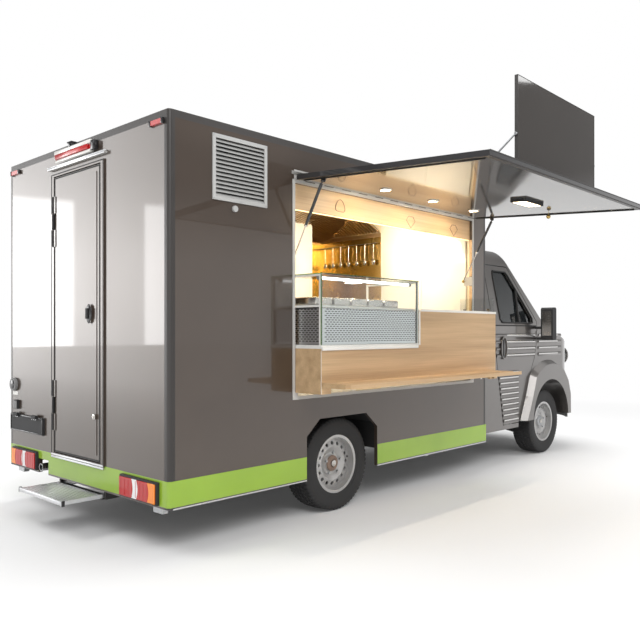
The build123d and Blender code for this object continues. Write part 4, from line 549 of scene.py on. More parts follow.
class Shape:
    """A mesh under construction, in metres, in the frame's axes."""

    def __init__(self) -> None:
        """Start with nothing."""
        self.mesh = bmesh.new()

    def box(self, low: Point, high: Point) -> "Shape":
        """Add a box between two corners.

        Args:
            low: The corner with the lower values.
            high: The opposite corner.

        Returns:
            This shape.
        """
        size = Vector(high) - Vector(low)
        matrix = Matrix.Translation((Vector(low) + Vector(high)) / 2.0) @ Matrix.Diagonal((*size, 1.0))
        bmesh.ops.create_cube(self.mesh, size=1.0, matrix=matrix)
        return self

    def rod(self, start: Point, end: Point, radius: float, sides: int = 20,
            end_radius: float | None = None) -> "Shape":
        """Add a closed rod or cone between two points.

        Args:
            start: Centre of one end.
            end: Centre of the other end.
            radius: Its radius at the start.
            sides: Faces round it.
            end_radius: Its radius at the end, if it differs.

        Returns:
            This shape.
        """
        run = Vector(end) - Vector(start)
        turn = run.to_track_quat("Z", "Y").to_matrix().to_4x4()
        matrix = Matrix.Translation((Vector(start) + Vector(end)) / 2.0) @ turn
        bmesh.ops.create_cone(self.mesh, cap_ends=True, segments=sides, radius1=radius,
                              radius2=radius if end_radius is None else end_radius,
                              depth=run.length, matrix=matrix)
        return self

    def ball(self, centre: Point, radii: Point, rings: int = 10) -> "Shape":
        """Add an ellipsoid.

        Args:
            centre: Its centre.
            radii: Its half size along each axis.
            rings: How many rings of faces it has.

        Returns:
            This shape.
        """
        matrix = Matrix.Translation(centre) @ Matrix.Diagonal((*radii, 1.0))
        bmesh.ops.create_uvsphere(self.mesh, u_segments=rings * 2, v_segments=rings, radius=1.0,
                                  matrix=matrix)
        return self

    def prism(self, outline: Outline, axis: Axis, low: float, high: float) -> "Shape":
        """Add a prism of a closed outline.

        Args:
            outline: Points in the two other axes, in X, Y, Z order.
            axis: The prism's own axis.
            low: Its lower end along that axis.
            high: Its upper end.

        Returns:
            This shape.
        """
        def lifted(point: tuple[float, float], level: float) -> Vector:
            """Put an outline point at a level."""
            values = list(point)
            values.insert(axis.value, level)
            return Vector(values)

        ends = [[self.mesh.verts.new(lifted(point, level)) for point in outline] for level in (low, high)]
        count = len(outline)
        for index in range(count):
            after = (index + 1) % count
            self.mesh.faces.new((ends[0][index], ends[0][after], ends[1][after], ends[1][index]))
        self.mesh.faces.new(ends[0][::-1])
        self.mesh.faces.new(ends[1])
        return self

    def tube(self, path: Sequence[Point], radius: float, sides: int = 10, closed: bool = False) -> "Shape":
        """Add a tube along a smooth path.

        Args:
            path: Points that the tube's centre passes through.
            radius: The tube's radius.
            sides: Faces round it.
            closed: Whether the path returns to its start.

        Returns:
            This shape.
        """
        points = [Vector(point) for point in path]
        count = len(points)
        rings = []
        normal = None
        for index, point in enumerate(points):
            before = points[index - 1] if index or closed else point
            after = points[(index + 1) % count] if index < count - 1 or closed else point
            heading = (after - before).normalized()
            if normal is None:
                normal = heading.orthogonal().normalized()
            normal = (normal - heading * normal.dot(heading)).normalized()
            side = heading.cross(normal)
            rings.append([
                self.mesh.verts.new(point + radius * (math.cos(turn) * normal + math.sin(turn) * side))
                for turn in (2.0 * math.pi * step / sides for step in range(sides))
            ])
        spans = count if closed else count - 1
        for index in range(spans):
            ring, following = rings[index], rings[(index + 1) % count]
            for step in range(sides):
                nxt = (step + 1) % sides
                self.mesh.faces.new((ring[step], ring[nxt], following[nxt], following[step]))
        if not closed:
            self.mesh.faces.new(rings[0][::-1])
            self.mesh.faces.new(rings[-1])
        return self

    def turned(self, profile: Outline, centre: Point, axis: Axis, steps: int = 48) -> "Shape":
        """Revolve a profile round an axis.

        Args:
            profile: Points as (along the axis, radius), from one closed end to the other.
            centre: A point on the axis, from which "along" is measured.
            axis: The axis it turns round.
            steps: Faces round it.

        Returns:
            This shape.
        """
        first, second = [other for other in Axis if other is not axis]
        rings = []
        for along, radius in profile:
            ring = []
            for step in range(steps if radius > 1e-6 else 1):
                turn = 2.0 * math.pi * step / steps
                place = list(centre)
                place[axis.value] += along
                place[first.value] += radius * math.cos(turn)
                place[second.value] += radius * math.sin(turn)
                ring.append(self.mesh.verts.new(place))
            rings.append(ring)
        for ring, following in zip(rings, rings[1:]):
            for step in range(steps):
                nxt = (step + 1) % steps
                corners = [ring[step % len(ring)], ring[nxt % len(ring)],
                           following[nxt % len(following)], following[step % len(following)]]
                unique = list(dict.fromkeys(corners))
                if len(unique) > 2:
                    self.mesh.faces.new(unique)
        return self

    def joined(self, other: "Shape", matrix: Matrix) -> None:
        """Take in another shape, moved by a matrix.

        Args:
            other: The shape that is taken in and used up.
            matrix: Where it goes.
        """
        other.mesh.transform(matrix)
        data = bpy.data.meshes.new("joined")
        other.mesh.to_mesh(data)
        other.mesh.free()
        self.mesh.from_mesh(data)
        bpy.data.meshes.remove(data)

    def rounded(self, width: float, segments: int = 2, angle: float = 30.0) -> "Shape":
        """Round every edge that is sharper than an angle in degrees.

        Args:
            width: Width of the rounding.
            segments: Faces across it.
            angle: Edges that bend more than this are rounded.

        Returns:
            This shape.
        """
        bmesh.ops.remove_doubles(self.mesh, verts=self.mesh.verts, dist=1e-5)
        sharp = [edge for edge in self.mesh.edges
                 if len(edge.link_faces) == 2 and edge.calc_face_angle(0.0) > math.radians(angle)]
        bmesh.ops.bevel(self.mesh, geom=sharp, offset=width, segments=segments, affect="EDGES",
                        profile=0.5, clamp_overlap=True)
        return self

    def piece(self, name: str, finish: bpy.types.Material, merge: float = 1e-6,
              smooth: float = 40.0) -> bpy.types.Object:
        """Turn the shape into an object of the scene.

        Args:
            name: The object's name.
            finish: Its material.
            merge: Distance under which points join.
            smooth: Angle in degrees under which faces shade as one.

        Returns:
            The object, at the origin.
        """
        bmesh.ops.remove_doubles(self.mesh, verts=self.mesh.verts, dist=merge)
        bmesh.ops.recalc_face_normals(self.mesh, faces=self.mesh.faces)
        data = bpy.data.meshes.new(name)
        self.mesh.to_mesh(data)
        self.mesh.free()
        data.materials.append(finish)
        data.shade_smooth()
        data.set_sharp_from_angle(angle=math.radians(smooth))
        return linked(name, data)


@dataclass(frozen=True)
class Row:
    """One row of copies: how many, from where, how far apart, and how they turn."""

    count: int
    start: Point = (0.0, 0.0, 0.0)
    step: Point = (0.0, 0.0, 0.0)
    axis: Point = (0.0, 1.0, 0.0)
    turn: float = 0.0


class Repeater:
    """Geometry Nodes tree that copies its own mesh along a row or round an axis."""

    INPUTS = (("Count", "NodeSocketInt"), ("Start", "NodeSocketVector"), ("Step", "NodeSocketVector"),
              ("Axis", "NodeSocketVector"), ("Turn", "NodeSocketFloat"), ("Finish", "NodeSocketMaterial"))
    NODES = (("given", "NodeGroupInput"), ("points", "GeometryNodeMeshLine"), ("angle", "ShaderNodeMath"),
             ("turned", "FunctionNodeAxisAngleToRotation"), ("copies", "GeometryNodeInstanceOnPoints"),
             ("real", "GeometryNodeRealizeInstances"), ("dressed", "GeometryNodeSetMaterial"),
             ("result", "NodeGroupOutput"), ("index", "GeometryNodeInputIndex"))
    LINKS = (
        ("given", "Count", "points", "Count"), ("given", "Start", "points", "Start Location"),
        ("given", "Step", "points", "Offset"), ("index", "Index", "angle", 0),
        ("given", "Turn", "angle", 1),
        ("given", "Axis", "turned", "Axis"), ("angle", 0, "turned", "Angle"),
        ("points", "Mesh", "copies", "Points"), ("given", "Geometry", "copies", "Instance"),
        ("turned", "Rotation", "copies", "Rotation"), ("copies", "Instances", "real", "Geometry"),
        ("real", "Geometry", "dressed", "Geometry"), ("given", "Finish", "dressed", "Material"),
        ("dressed", "Geometry", "result", "Geometry"))

    def __init__(self) -> None:
        """Build the tree."""
        self.tree = bpy.data.node_groups.new("Row of copies", "GeometryNodeTree")
        face = self.tree.interface
        face.new_socket("Geometry", in_out="INPUT", socket_type="NodeSocketGeometry")
        for label, kind in self.INPUTS:
            face.new_socket(label, in_out="INPUT", socket_type=kind)
        face.new_socket("Geometry", in_out="OUTPUT", socket_type="NodeSocketGeometry")
        made = {label: self.tree.nodes.new(kind) for label, kind in self.NODES}
        made["angle"].operation = "MULTIPLY"
        for source, output, target, entry in self.LINKS:
            self.tree.links.new(made[source].outputs[output], made[target].inputs[entry])
        self.sockets = {item.name: item.identifier for item in face.items_tree if item.in_out == "INPUT"}

    def spread(self, name: str, stamp: Shape, rows: Iterable[Row], finish: bpy.types.Material,
               smooth: float = 40.0) -> bpy.types.Object:
        """Copy a shape by one or more nested rows.

        Args:
            name: The finished object's name.
            stamp: The shape that is copied.
            rows: The rows, innermost first.
            finish: The copies' material.
            smooth: Angle in degrees under which faces shade as one.

        Returns:
            One plain mesh object with all the copies.
        """
        carrier = stamp.piece(name + "_stamp", finish, smooth=smooth)
        for row in rows:
            modifier = carrier.modifiers.new("Row", "NODES")
            modifier.node_group = self.tree
            values = {"Count": row.count, "Start": row.start, "Step": row.step, "Axis": row.axis,
                      "Turn": row.turn, "Finish": finish}
            for label, value in values.items():
                modifier[self.sockets[label]] = value
        graph = bpy.context.evaluated_depsgraph_get()
        data = bpy.data.meshes.new_from_object(carrier.evaluated_get(graph), depsgraph=graph)
        data.name = name
        bpy.data.objects.remove(carrier)
        data.materials.clear()
        data.materials.append(finish)
        return linked(name, data)


@dataclass
class Workshop:
    """What every sub-assembly needs: the frame, the palette and the repeater."""

    frame: dict
    palette: Palette
    repeater: Repeater
    count: int = 0

    def fit(self, piece: bpy.types.Object, body: str) -> bpy.types.Object:
        """Make a piece ride on a body and log it.

        Args:
            piece: The object, at the origin.
            body: The body that it moves with.

        Returns:
            The same object.
        """
        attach(piece, body)
        self.count += 1
        log.info("%s rides on %s, %d faces", piece.name, body, len(piece.data.polygons))
        return piece

    def add(self, shape: Shape, name: str, finish: str, body: str = "chassis") -> None:
        """Turn a shape into a piece that rides on a body."""
        self.fit(shape.piece(name, self.palette[finish]), body)

    def spread(self, stamp: Shape, rows: Iterable[Row], name: str, finish: str,
               body: str = "chassis") -> None:
        """Copy a shape by nested rows into one piece that rides on a body."""
        self.fit(self.repeater.spread(name, stamp, rows, self.palette[finish]), body)

    def refinish(self, node: str, finish: str) -> None:
        """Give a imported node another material.

        Args:
            node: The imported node's name.
            finish: The material's name.
        """
        for place in self.frame["nodes"][node].material_slots:
            place.link = "OBJECT"
            place.material = self.palette[finish]


def both(*blocks: Block) -> tuple[Block, ...]:
    """Blocks and their mirror images across the truck's middle plane.

    Args:
        blocks: Pairs of corners on one side.

    Returns:
        The pairs on both sides.
    """
    mirrored = tuple(((low[0], -high[1], low[2]), (high[0], -low[1], high[2])) for low, high in blocks)
    return blocks + mirrored


@dataclass(frozen=True)
class Part:
    """Blocks, rods and balls of one finish that ride on one body."""

    name: str
    finish: str
    body: str = "chassis"
    boxes: Sequence[Block] = ()
    rods: Sequence[tuple[Point, Point, float]] = ()
    balls: Sequence[Block] = ()
    edge: float = 0.0

    def build(self, shop: Workshop) -> None:
        """Make the piece.

        Args:
            shop: The workshop that makes and fits the pieces.
        """
        shape = Shape()
        for low, high in self.boxes:
            shape.box(low, high)
        if self.edge:
            shape.rounded(self.edge)
        for start, end, radius in self.rods:
            shape.rod(start, end, radius, 24)
        for centre, radii in self.balls:
            shape.ball(centre, radii, 12)
        shop.add(shape, self.name, self.finish, self.body)


class Assembly:
    """One sub-assembly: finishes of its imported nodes, plain parts, then shaped pieces."""

    NODES: ClassVar[dict[str, str]] = {}

    def build(self, shop: Workshop) -> None:
        """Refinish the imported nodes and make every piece.

        Args:
            shop: The workshop that makes and fits the pieces.
        """
        for node, finish in self.NODES.items():
            shop.refinish(node, finish)
        for part in self._parts():
            part.build(shop)
        self._shapes(shop)

    def _parts(self) -> tuple[Part, ...]:
        """The plain pieces."""
        return ()

    def _shapes(self, shop: Workshop) -> None:
        """Make the pieces that plain parts can't describe."""


def arc(centre: tuple[float, float], radius: float, start: float, end: float, steps: int) -> Outline:
    """Points on an arc.

    Args:
        centre: Its centre.
        radius: Its radius.
        start: First angle, in degrees.
        end: Last angle, in degrees.
        steps: How many runs it is cut into.

    Returns:
        The points, ends included.
    """
    turns = [math.radians(start + (end - start) * step / steps) for step in range(steps + 1)]
    return [(centre[0] + radius * math.cos(turn), centre[1] + radius * math.sin(turn)) for turn in turns]


def facing(centre: Point, normal: Point, up: Point = (0.0, 0.0, 1.0)) -> Matrix:
    """Matrix that lays a shape made on XY, front along +Z, on a surface.

    Args:
        centre: Where the shape's origin goes.
        normal: Where its +Z points.
        up: Where its +Y points, roughly.

    Returns:
        The matrix.
    """
    ahead = Vector(normal).normalized()
    across = Vector(up).cross(ahead).normalized()
    rise = ahead.cross(across)
    return Matrix.Translation(centre) @ Matrix((across, rise, ahead)).transposed().to_4x4()


@dataclass
class Wheels(Assembly):
    """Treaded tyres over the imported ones, and the steel wheels' small parts."""

    track_rear: float = 0.92
    track_front: float = 0.89
    axle_x: float = 1.725
    axle_z: float = 0.348
    radius: float = 0.348
    width: float = 0.225
    bead: float = 0.2135
    pitches: int = 62
    stations: int = 6
    grooves: tuple[float, ...] = (-0.058, -0.02, 0.02, 0.058)
    groove_half: float = 0.0052
    groove_depth: float = 0.008
    bolt_circle: float = 0.065
    bolts: int = 5
    hub_out: float = 0.062
    shoulder: float = 0.06
    middle_rib: float = 0.021
    inset: float = 0.0004
    crown_fall: float = 0.03
    smooth: float = 34.0

    PLACES = (("rear_right", -1, -1), ("rear_left", -1, 1), ("front_right", 1, -1), ("front_left", 1, 1))
    HUB = ((0.0, 0.0), (0.0, 0.06), (0.008, 0.058), (0.016, 0.044), (0.017, 0.034), (0.012, 0.03),
           (0.012, 0.0))
    CAP = ((0.0, 0.0), (0.0, 0.026), (0.008, 0.024), (0.011, 0.012), (0.011, 0.0))

    def _shapes(self, shop: Workshop) -> None:
        """Make the pieces of all four wheels.

        Args:
            shop: The workshop that makes and fits the pieces.
        """
        for label, fore, side in self.PLACES:
            track = self.track_rear if fore < 0 else self.track_front
            centre = (fore * self.axle_x, side * track, self.axle_z)
            axle, hand = label.split("_")
            body = f"{axle}_wheel_{hand}"
            tyre = self._tyre(shop, label, centre)
            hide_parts(f"tyre_{label}")
            shop.fit(tyre, body)
            shop.refinish(f"wheel_{label}", "wheel_silver")
            self._hub(shop, label, centre, side, body)

    def _profile(self) -> list[tuple[float, float, bool]]:
        """Half of the tyre's section, mirrored to a whole.

        Returns:
            Points as (across, radius, on the tread), from one bead to the other.
        """
        half = self.width / 2.0 - self.inset
        top = self.radius - self.inset
        side = [
            (0.09, self.bead + 0.002, False), (0.0985, self.bead + 0.004, False),
            (0.103, self.bead + 0.012, False), (0.1045, self.bead + 0.02, False),
            (0.1045, self.bead + 0.0225, False), (0.1065, self.bead + 0.0235, False),
            (0.1085, self.bead + 0.035, False), (0.1108, self.bead + 0.055, False),
            (half, self.bead + 0.072, False), (half, self.bead + 0.078, False),
            (0.1108, self.bead + 0.088, False), (0.111, self.bead + 0.092, False),
            (0.109, top - 0.03, False), (0.104, top - 0.014, True), (0.0965, top - 0.0045, True),
        ]
        tread = []
        for groove in sorted(self.grooves, reverse=True):
            rim, foot = top - 0.0005 - abs(groove) * self.crown_fall, top - self.groove_depth
            tread += [
                (groove + self.groove_half, rim, True), (groove + self.groove_half * 0.6, foot, False),
                (groove - self.groove_half * 0.6, foot, False), (groove - self.groove_half, rim, True),
            ]
        other = [(-across, radius, tread_on) for across, radius, tread_on in reversed(side)]
        return side + tread + other

    def _tyre(self, shop: Workshop, label: str, centre: Point) -> bpy.types.Object:
        """Repeat one pitch of tread and sidewall round the wheel.

        Args:
            shop: The workshop that makes and fits the pieces.
            label: The wheel's place, for the pieces' names.
            centre: The wheel's centre.

        Returns:
            The tyre as one plain mesh.
        """
        profile = self._profile()
        step = math.tau / self.pitches / self.stations
        stamp = Shape()
        rings = []
        for station in range(self.stations + 1):
            turn = step * station
            ring = []
            for across, radius, on_tread in profile:
                cut = on_tread and self._cut(across, station)
                reach = radius - (self.groove_depth * 0.75 if cut else 0.0)
                ring.append(stamp.mesh.verts.new((reach * math.sin(turn), across, reach * math.cos(turn))))
            rings.append(ring)
        for ring, following in zip(rings, rings[1:]):
            for low in range(len(profile) - 1):
                stamp.mesh.faces.new((ring[low], ring[low + 1], following[low + 1], following[low]))
            stamp.mesh.faces.new((ring[-1], ring[0], following[0], following[-1]))
        turning = Row(self.pitches, centre, turn=math.tau / self.pitches)
        rubber = shop.palette["tyre_rubber"]
        tyre = shop.repeater.spread(f"tyre_{label}_treaded", stamp, (turning,), rubber, self.smooth)
        weld(tyre, self.smooth)
        return tyre

    def _cut(self, across: float, station: int) -> bool:
        """Whether a cross groove passes here: shoulders at one station, ribs at another.

        Args:
            across: Distance from the tyre's middle plane.
            station: Step within one pitch.

        Returns:
            Whether the tread is cut at that point.
        """
        if abs(across) > self.shoulder:
            return station in (1, 2)
        return station == (4 if abs(across) > self.middle_rib else 5)

    def _hub(self, shop: Workshop, label: str, centre: Point, side: int, body: str) -> None:
        """Hub centre, its cap and bolts, and the valve.

        Args:
            shop: The workshop that makes and fits the pieces.
            label: The wheel's place, for the pieces' names.
            centre: The wheel's centre.
            side: -1 for the right side, 1 for the left.
            body: The wheel's body.
        """
        x, middle, z = centre
        low, high = (corner[1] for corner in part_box(f"wheel_{label}"))
        face = max(min(middle + side * self.hub_out, high), low)
        hub = Shape().turned([(side * out, radius) for out, radius in self.HUB],
                             (x, face - side * 0.012, z), Axis.Y, 40)
        shop.add(hub, f"hub_{label}", "hub_rust" if label.startswith("rear") else "galvanised", body)
        cap = Shape().turned([(side * out, radius) for out, radius in self.CAP],
                             (x, face + side * 0.002, z), Axis.Y, 28)
        shop.add(cap, f"hub_cap_{label}", "stainless", body)
        rise = self.bolt_circle + 0.016
        nut = Shape().rod((0.0, 0.0, rise), (0.0, side * 0.016, rise), 0.0105, 6, 0.009)
        ring = Row(self.bolts, (x, face - side * 0.006, z), turn=math.tau / self.bolts)
        shop.spread(nut, (ring,), f"wheel_bolts_{label}", "galvanised", body)
        mouth = middle + side * 0.055
        valve = Shape().rod((x + 0.172, mouth - side * 0.03, z + 0.03),
                            (x + 0.17, mouth + side * 0.004, z + 0.03), 0.005, 10)
        shop.add(valve, f"valve_{label}", "gasket", body)


def weld(piece: bpy.types.Object, smooth: float) -> None:
    """Join a repeated mesh's touching points and set how it shades.

    Args:
        piece: The object.
        smooth: Angle in degrees under which faces shade as one.
    """
    mesh = bmesh.new()
    mesh.from_mesh(piece.data)
    bmesh.ops.remove_doubles(mesh, verts=mesh.verts, dist=2e-5)
    bmesh.ops.recalc_face_normals(mesh, faces=mesh.faces)
    mesh.to_mesh(piece.data)
    mesh.free()
    piece.data.shade_smooth()
    piece.data.set_sharp_from_angle(angle=math.radians(smooth))


@dataclass
class BodyShell(Assembly):
    """Finish of the box body, its lime stripe, the louvre's screws and painted shade behind its blades."""

    rear: float = -3.265
    front: float = 0.315
    half: float = 1.093
    corner: float = 0.022
    stripe: tuple[float, float] = (0.303, 0.458)
    arch: tuple[float, float] = (-2.119, -1.331)
    notch: tuple[float, float, float] = (0.431, 0.593, 0.397)
    lift: float = 0.0006
    thick: float = 0.0012

    NODES = {
        "side_wall_right": "body_paint", "side_wall_left": "body_paint", "front_wall": "body_paint",
        "rear_wall": "body_paint", "rear_door": "body_paint", "roof_panel": "roof_paint",
        "edge_profiles": "corner_profile", "box_floor": "underbody", "louvre": "louvre_grey",
        "opening_trim": "window_trim", "rear_lamps": "red_lens", "rear_fittings": "black_plastic",
    }

    def _parts(self) -> tuple[Part, ...]:
        """Sill edges below the stripe, and a dark sheet behind the louvre's blades: painted shade in their
        gaps.

        Returns:
            The parts, in the order in which they are made.
        """
        return (
            Part("sill_edge", "alloy", boxes=both(
                ((self.arch[1], self.half, 0.288), (self.front - 0.002, self.half + 0.0022, 0.296)),
                ((self.rear + 0.03, self.half, 0.288), (self.arch[0], self.half + 0.0022, 0.296)))),
            # A near-black sheet behind the louvre: it blocks the galley lamps' glow and paints the shade
            # seen in the gaps between the blades.
            Part("louvre_painted_shade", "gasket", boxes=(((-2.925, -1.0755, 2.188), (-2.5155, -1.0735, 2.546)),)),
        )

    def _outline(self, start: float, end: float, side: int, off: float) -> Outline:
        """Plan path along one side, round the rear corner and to a place on the rear wall.

        Args:
            start: X where it starts on the side.
            end: Y where it ends on the rear wall.
            side: -1 for the right side, 1 for the left.
            off: Distance outside the panels.

        Returns:
            Points as (x, y).
        """
        middle = (self.rear + self.corner, self.half - self.corner)
        turn = arc(middle, self.corner + off, 90.0, 180.0, 8)
        path = [(start, self.half + off)] + turn + [(self.rear - off, end)]
        return [(x, side * y) for x, y in path]

    def _shapes(self, shop: Workshop) -> None:
        """Stripe on both sides and the rear, clear of arches and notch, and the louvre's screws.

        Args:
            shop: The workshop that makes and fits the pieces.
        """
        low, high = self.stripe
        shape = Shape()
        for side in (-1, 1):
            end = 0.0 if side < 0 else self.notch[1]
            inner = self._outline(self.arch[0], end, side, self.lift)
            outer = self._outline(self.arch[0], end, side, self.lift + self.thick)
            shape.prism(inner + outer[::-1], Axis.Z, low, high)
            near, far = sorted(side * (self.half + off) for off in (self.lift, self.lift + self.thick))
            shape.box((self.arch[1], near, low), (self.front - 0.002, far, high))
        face = (self.rear - self.lift - self.thick, self.rear - self.lift)
        shape.box((face[0], 0.0005, low), (face[1], self.notch[0], high))
        shape.box((face[0], self.notch[0] + 0.0005, self.notch[2]), (face[1], self.notch[1] - 0.0005, high))
        shop.add(shape, "lime_stripe", "lime_stripe")
        screw = Shape().rod((0.0, 0.0, 0.0), (0.0, -0.0022, 0.0), 0.0045, 12)
        rows = (Row(3, (-2.94, -1.1018, 2.169), (0.2155, 0.0, 0.0)), Row(2, step=(0.0, 0.0, 0.392)))
        shop.spread(screw, rows, "louvre_screws", "galvanised")


@dataclass
class RearFace(Assembly):
    """Door seals, hinges, handle, lamps and fittings on the rear."""

    rear: float = -3.265
    lens: tuple[float, float] = (-3.2985, -3.2912)
    lamp_y: tuple[float, float] = (0.598, 0.992)
    lamp_z: tuple[float, float] = (0.316, 0.434)
    bow: float = 0.016
    frame_x: float = -3.275
    leaf_x: float = -3.273

    LENSES = (("red_inner", 0.0, 0.36, "red_lens"), ("white", 0.36, 0.5, "white_lens"),
              ("red_outer", 0.5, 0.8, "red_lens"), ("orange", 0.8, 1.0, "orange_lens"))

    def _shapes(self, shop: Workshop) -> None:
        """Tail lamp lenses in four colours, with bowed joints between them, and the round inlet.

        Args:
            shop: The workshop that makes and fits the pieces.
        """
        length = self.lamp_y[1] - self.lamp_y[0]
        for label, begin, end, finish in self.LENSES:
            shape = Shape()
            for side in (-1, 1):
                edges = []
                for share in (begin, end):
                    at = self.lamp_y[0] + share * length
                    bow = self.bow if 0.0 < share < 1.0 else 0.0
                    edges.append([(at + bow * math.sin(math.pi * step / 8.0),
                                   self.lamp_z[0] + (self.lamp_z[1] - self.lamp_z[0]) * step / 8.0)
                                  for step in range(9)])
                outline = [(side * y, z) for y, z in edges[0] + edges[1][::-1]]
                shape.prism(outline, Axis.X, *self.lens)
            shape.rounded(0.0018, 1, 50.0)
            shop.add(shape, f"tail_lens_{label}", finish)
        ring = Shape().turned([(0.0, 0.036), (0.0, 0.05), (-0.006, 0.052), (-0.0225, 0.049),
                               (-0.0255, 0.045), (-0.0245, 0.038), (-0.0, 0.036)],
                              (self.rear - 0.0005, 1.0, 0.928), Axis.X, 48)
        shop.add(ring, "inlet_ring", "grey_plastic")
        lid = Shape().turned([(0.0, 0.0), (0.0, 0.036), (-0.004, 0.037), (-0.007, 0.03), (-0.009, 0.0)],
                             (self.rear - 0.0222, 1.0, 0.928), Axis.X, 40)
        shop.add(lid, "inlet_lid", "black_gloss")

    def _parts(self) -> tuple[Part, ...]:
        """The rear's plain pieces.

        Returns:
            The parts, in the order in which they are made.
        """
        out = self.rear
        face, pitch = self.lens[0], 0.042
        ribs = [((face - 0.0012, 0.62 + pitch * step, 0.324), (face + 0.001, 0.623 + pitch * step, 0.426))
                for step in range(8)]
        return (
            Part("tail_lamp_bases", "black_plastic", edge=0.003, boxes=both(
                ((-3.2895, 0.588, 0.306), (out - 0.0002, 1.001, 0.444)))),
            Part("tail_lamp_ribs", "red_lens", boxes=both(*ribs)),
            Part("high_lamp_housing", "white_lacquer", edge=0.005, boxes=(
                ((-3.302, -0.238, 2.596), (out - 0.0005, 0.272, 2.622)),
                ((-3.298, -0.232, 2.54), (out - 0.0005, 0.266, 2.5595)),
                ((-3.299, 0.2605, 2.56), (out - 0.0005, 0.272, 2.5955)))),
            Part("high_lamp_lens", "red_lens", edge=0.003, boxes=(
                ((-3.3045, -0.205, 2.562), (-3.2914, 0.256, 2.594)),)),
            Part("high_lamp_end", "black_gloss", edge=0.004, boxes=(
                ((-3.3, -0.285, 2.548), (out - 0.0005, -0.239, 2.612)),)),
            Part("marker_ends", "black_gloss", edge=0.002, boxes=both(
                ((-3.2845, 1.0355, 2.568), (out - 0.0005, 1.05, 2.604)),
                ((-3.2835, 0.906, 2.569), (out - 0.0005, 0.9245, 2.603)))),
            Part("plate_frame", "black_gloss", edge=0.002, boxes=(
                ((-3.2835, 0.498, 0.69), (-3.2792, 1.047, 0.698)),
                ((-3.2835, 0.498, 0.574), (-3.2792, 1.047, 0.582)),
                ((-3.2835, 0.498, 0.5825), (-3.2792, 0.506, 0.6895)),
                ((-3.2835, 1.039, 0.5825), (-3.2792, 1.047, 0.6895)))),
            Part("plate_lamp_lenses", "lamp_glass", edge=0.002, boxes=(
                ((-3.3005, 0.592, 0.68), (-3.2845, 0.638, 0.6858)),
                ((-3.3005, 0.907, 0.68), (-3.2845, 0.953, 0.6858)))),
            Part("door_threshold", "alloy", edge=0.001, boxes=(
                ((-3.2795, -0.366, 0.453), (self.frame_x - 0.0003, 0.366, 0.465)),
                ((-3.2775, -0.366, 0.436), (out - 0.002, 0.366, 0.448)))),
            Part("doorway_gasket", "gasket", boxes=(
                *both(((-3.2355, 0.316, 0.4705), (-3.2275, 0.3295, 2.4545))),
                ((-3.2355, -0.3155, 0.4705), (-3.2275, 0.3155, 0.484)),
                ((-3.2355, -0.3155, 2.441), (-3.2275, 0.3155, 2.4545)))),
            Part("rain_bar", "alloy", edge=0.0015, boxes=(
                ((-3.2895, -0.4015, 2.5205), (out - 0.0003, 0.4015, 2.5265)),
                ((-3.2895, -0.4015, 2.505), (-3.2873, 0.4015, 2.52)))),
            Part("inlet_label", "white_lacquer", boxes=(
                ((-3.2662, 0.952, 0.846), (out - 0.0002, 1.04, 0.872)),)),
            Part("socket_lid", "grey_plastic", edge=0.004, boxes=(
                ((-3.289, 0.929, 0.742), (-3.2812, 0.991, 0.804)),)),
            Part("camera_lens", "black_gloss", rods=(
                ((-3.294, 0.045, 2.628), (-3.3055, 0.045, 2.626), 0.012),)),
            Part("camera_hood", "black_plastic", edge=0.002, boxes=(
                ((-3.304, 0.014, 2.6465), (-3.262, 0.076, 2.6555)),)),
            Part("step_treads", "alloy", "step", edge=0.0008, boxes=tuple(
                ((-3.52 + 0.0225 * step, -0.292, 0.2601), (-3.508 + 0.0225 * step, 0.292, 0.2632))
                for step in range(12))),
            Part("step_caps", "black_plastic", "step", edge=0.003, boxes=both(
                ((-3.5345, 0.3085, 0.229), (-3.5115, 0.3145, 0.266)))),
            Part("step_nose", "alloy", "step", edge=0.002, boxes=(
                ((-3.535, -0.298, 0.236), (-3.5275, 0.298, 0.2625)),)),
            *self._door(),
        )

    def _door(self) -> Iterable[Part]:
        """Seals on leaf and frame, hinge sleeves, handle and lock.

        Returns:
            The parts, one after another.
        """
        for label, body, half, low, high, x, width in (
                ("door_seal", "rear_door", 0.3195, 0.4805, 2.4445, self.leaf_x, 0.009),
                ("frame_seal", "chassis", 0.3655, 0.4535, 2.4725, self.frame_x, 0.006)):
            face = (x - 0.0016, x - 0.0001)
            inner = half - width - 0.0004
            yield Part(label, "gasket", body, boxes=(
                *both(((face[0], half - width, low), (face[1], half, high))),
                ((face[0], -inner, high - width), (face[1], inner, high)),
                ((face[0], -inner, low), (face[1], inner, low + width))))
        for label, body, spans in (
                ("hinge_sleeves_frame", "chassis", ((0.757, 0.869), (2.074, 2.186))),
                ("hinge_sleeves_door", "rear_door",
                 ((0.634, 0.752), (0.874, 0.992), (1.951, 2.069), (2.191, 2.309)))):
            rods = tuple(((-3.282, 0.326, low), (-3.282, 0.326, high), 0.0078) for low, high in spans)
            yield Part(label, "black_plastic", body, rods=rods)
        yield Part("door_handle", "black_gloss", "rear_door", balls=(
            ((-3.2875, -0.2, 1.46), (0.01, 0.036, 0.066)),))
        yield Part("handle_lever", "black_plastic", "rear_door", edge=0.004, boxes=(
            ((-3.308, -0.212, 1.425), (-3.296, -0.186, 1.498)),))
        yield Part("door_lock", "stainless", "rear_door", edge=0.002, boxes=(
            ((-3.289, -0.279, 0.758), (-3.2842, -0.245, 0.792)),), rods=(
            ((-3.2842, -0.262, 0.775), (-3.2945, -0.262, 0.775), 0.009),))


HINGE = (-1.107, 2.396)
LEAN = math.radians(3.5)


def sloped(reach: float, above: float) -> tuple[float, float]:
    """Place on the open lid.

    Args:
        reach: Distance out from the lid's hinge axis, along the lid.
        above: Distance over the lid's own plane through that axis.

    Returns:
        The place as (y, z).
    """
    return (HINGE[0] - reach * math.cos(LEAN) - above * math.sin(LEAN),
            HINGE[1] - reach * math.sin(LEAN) + above * math.cos(LEAN))


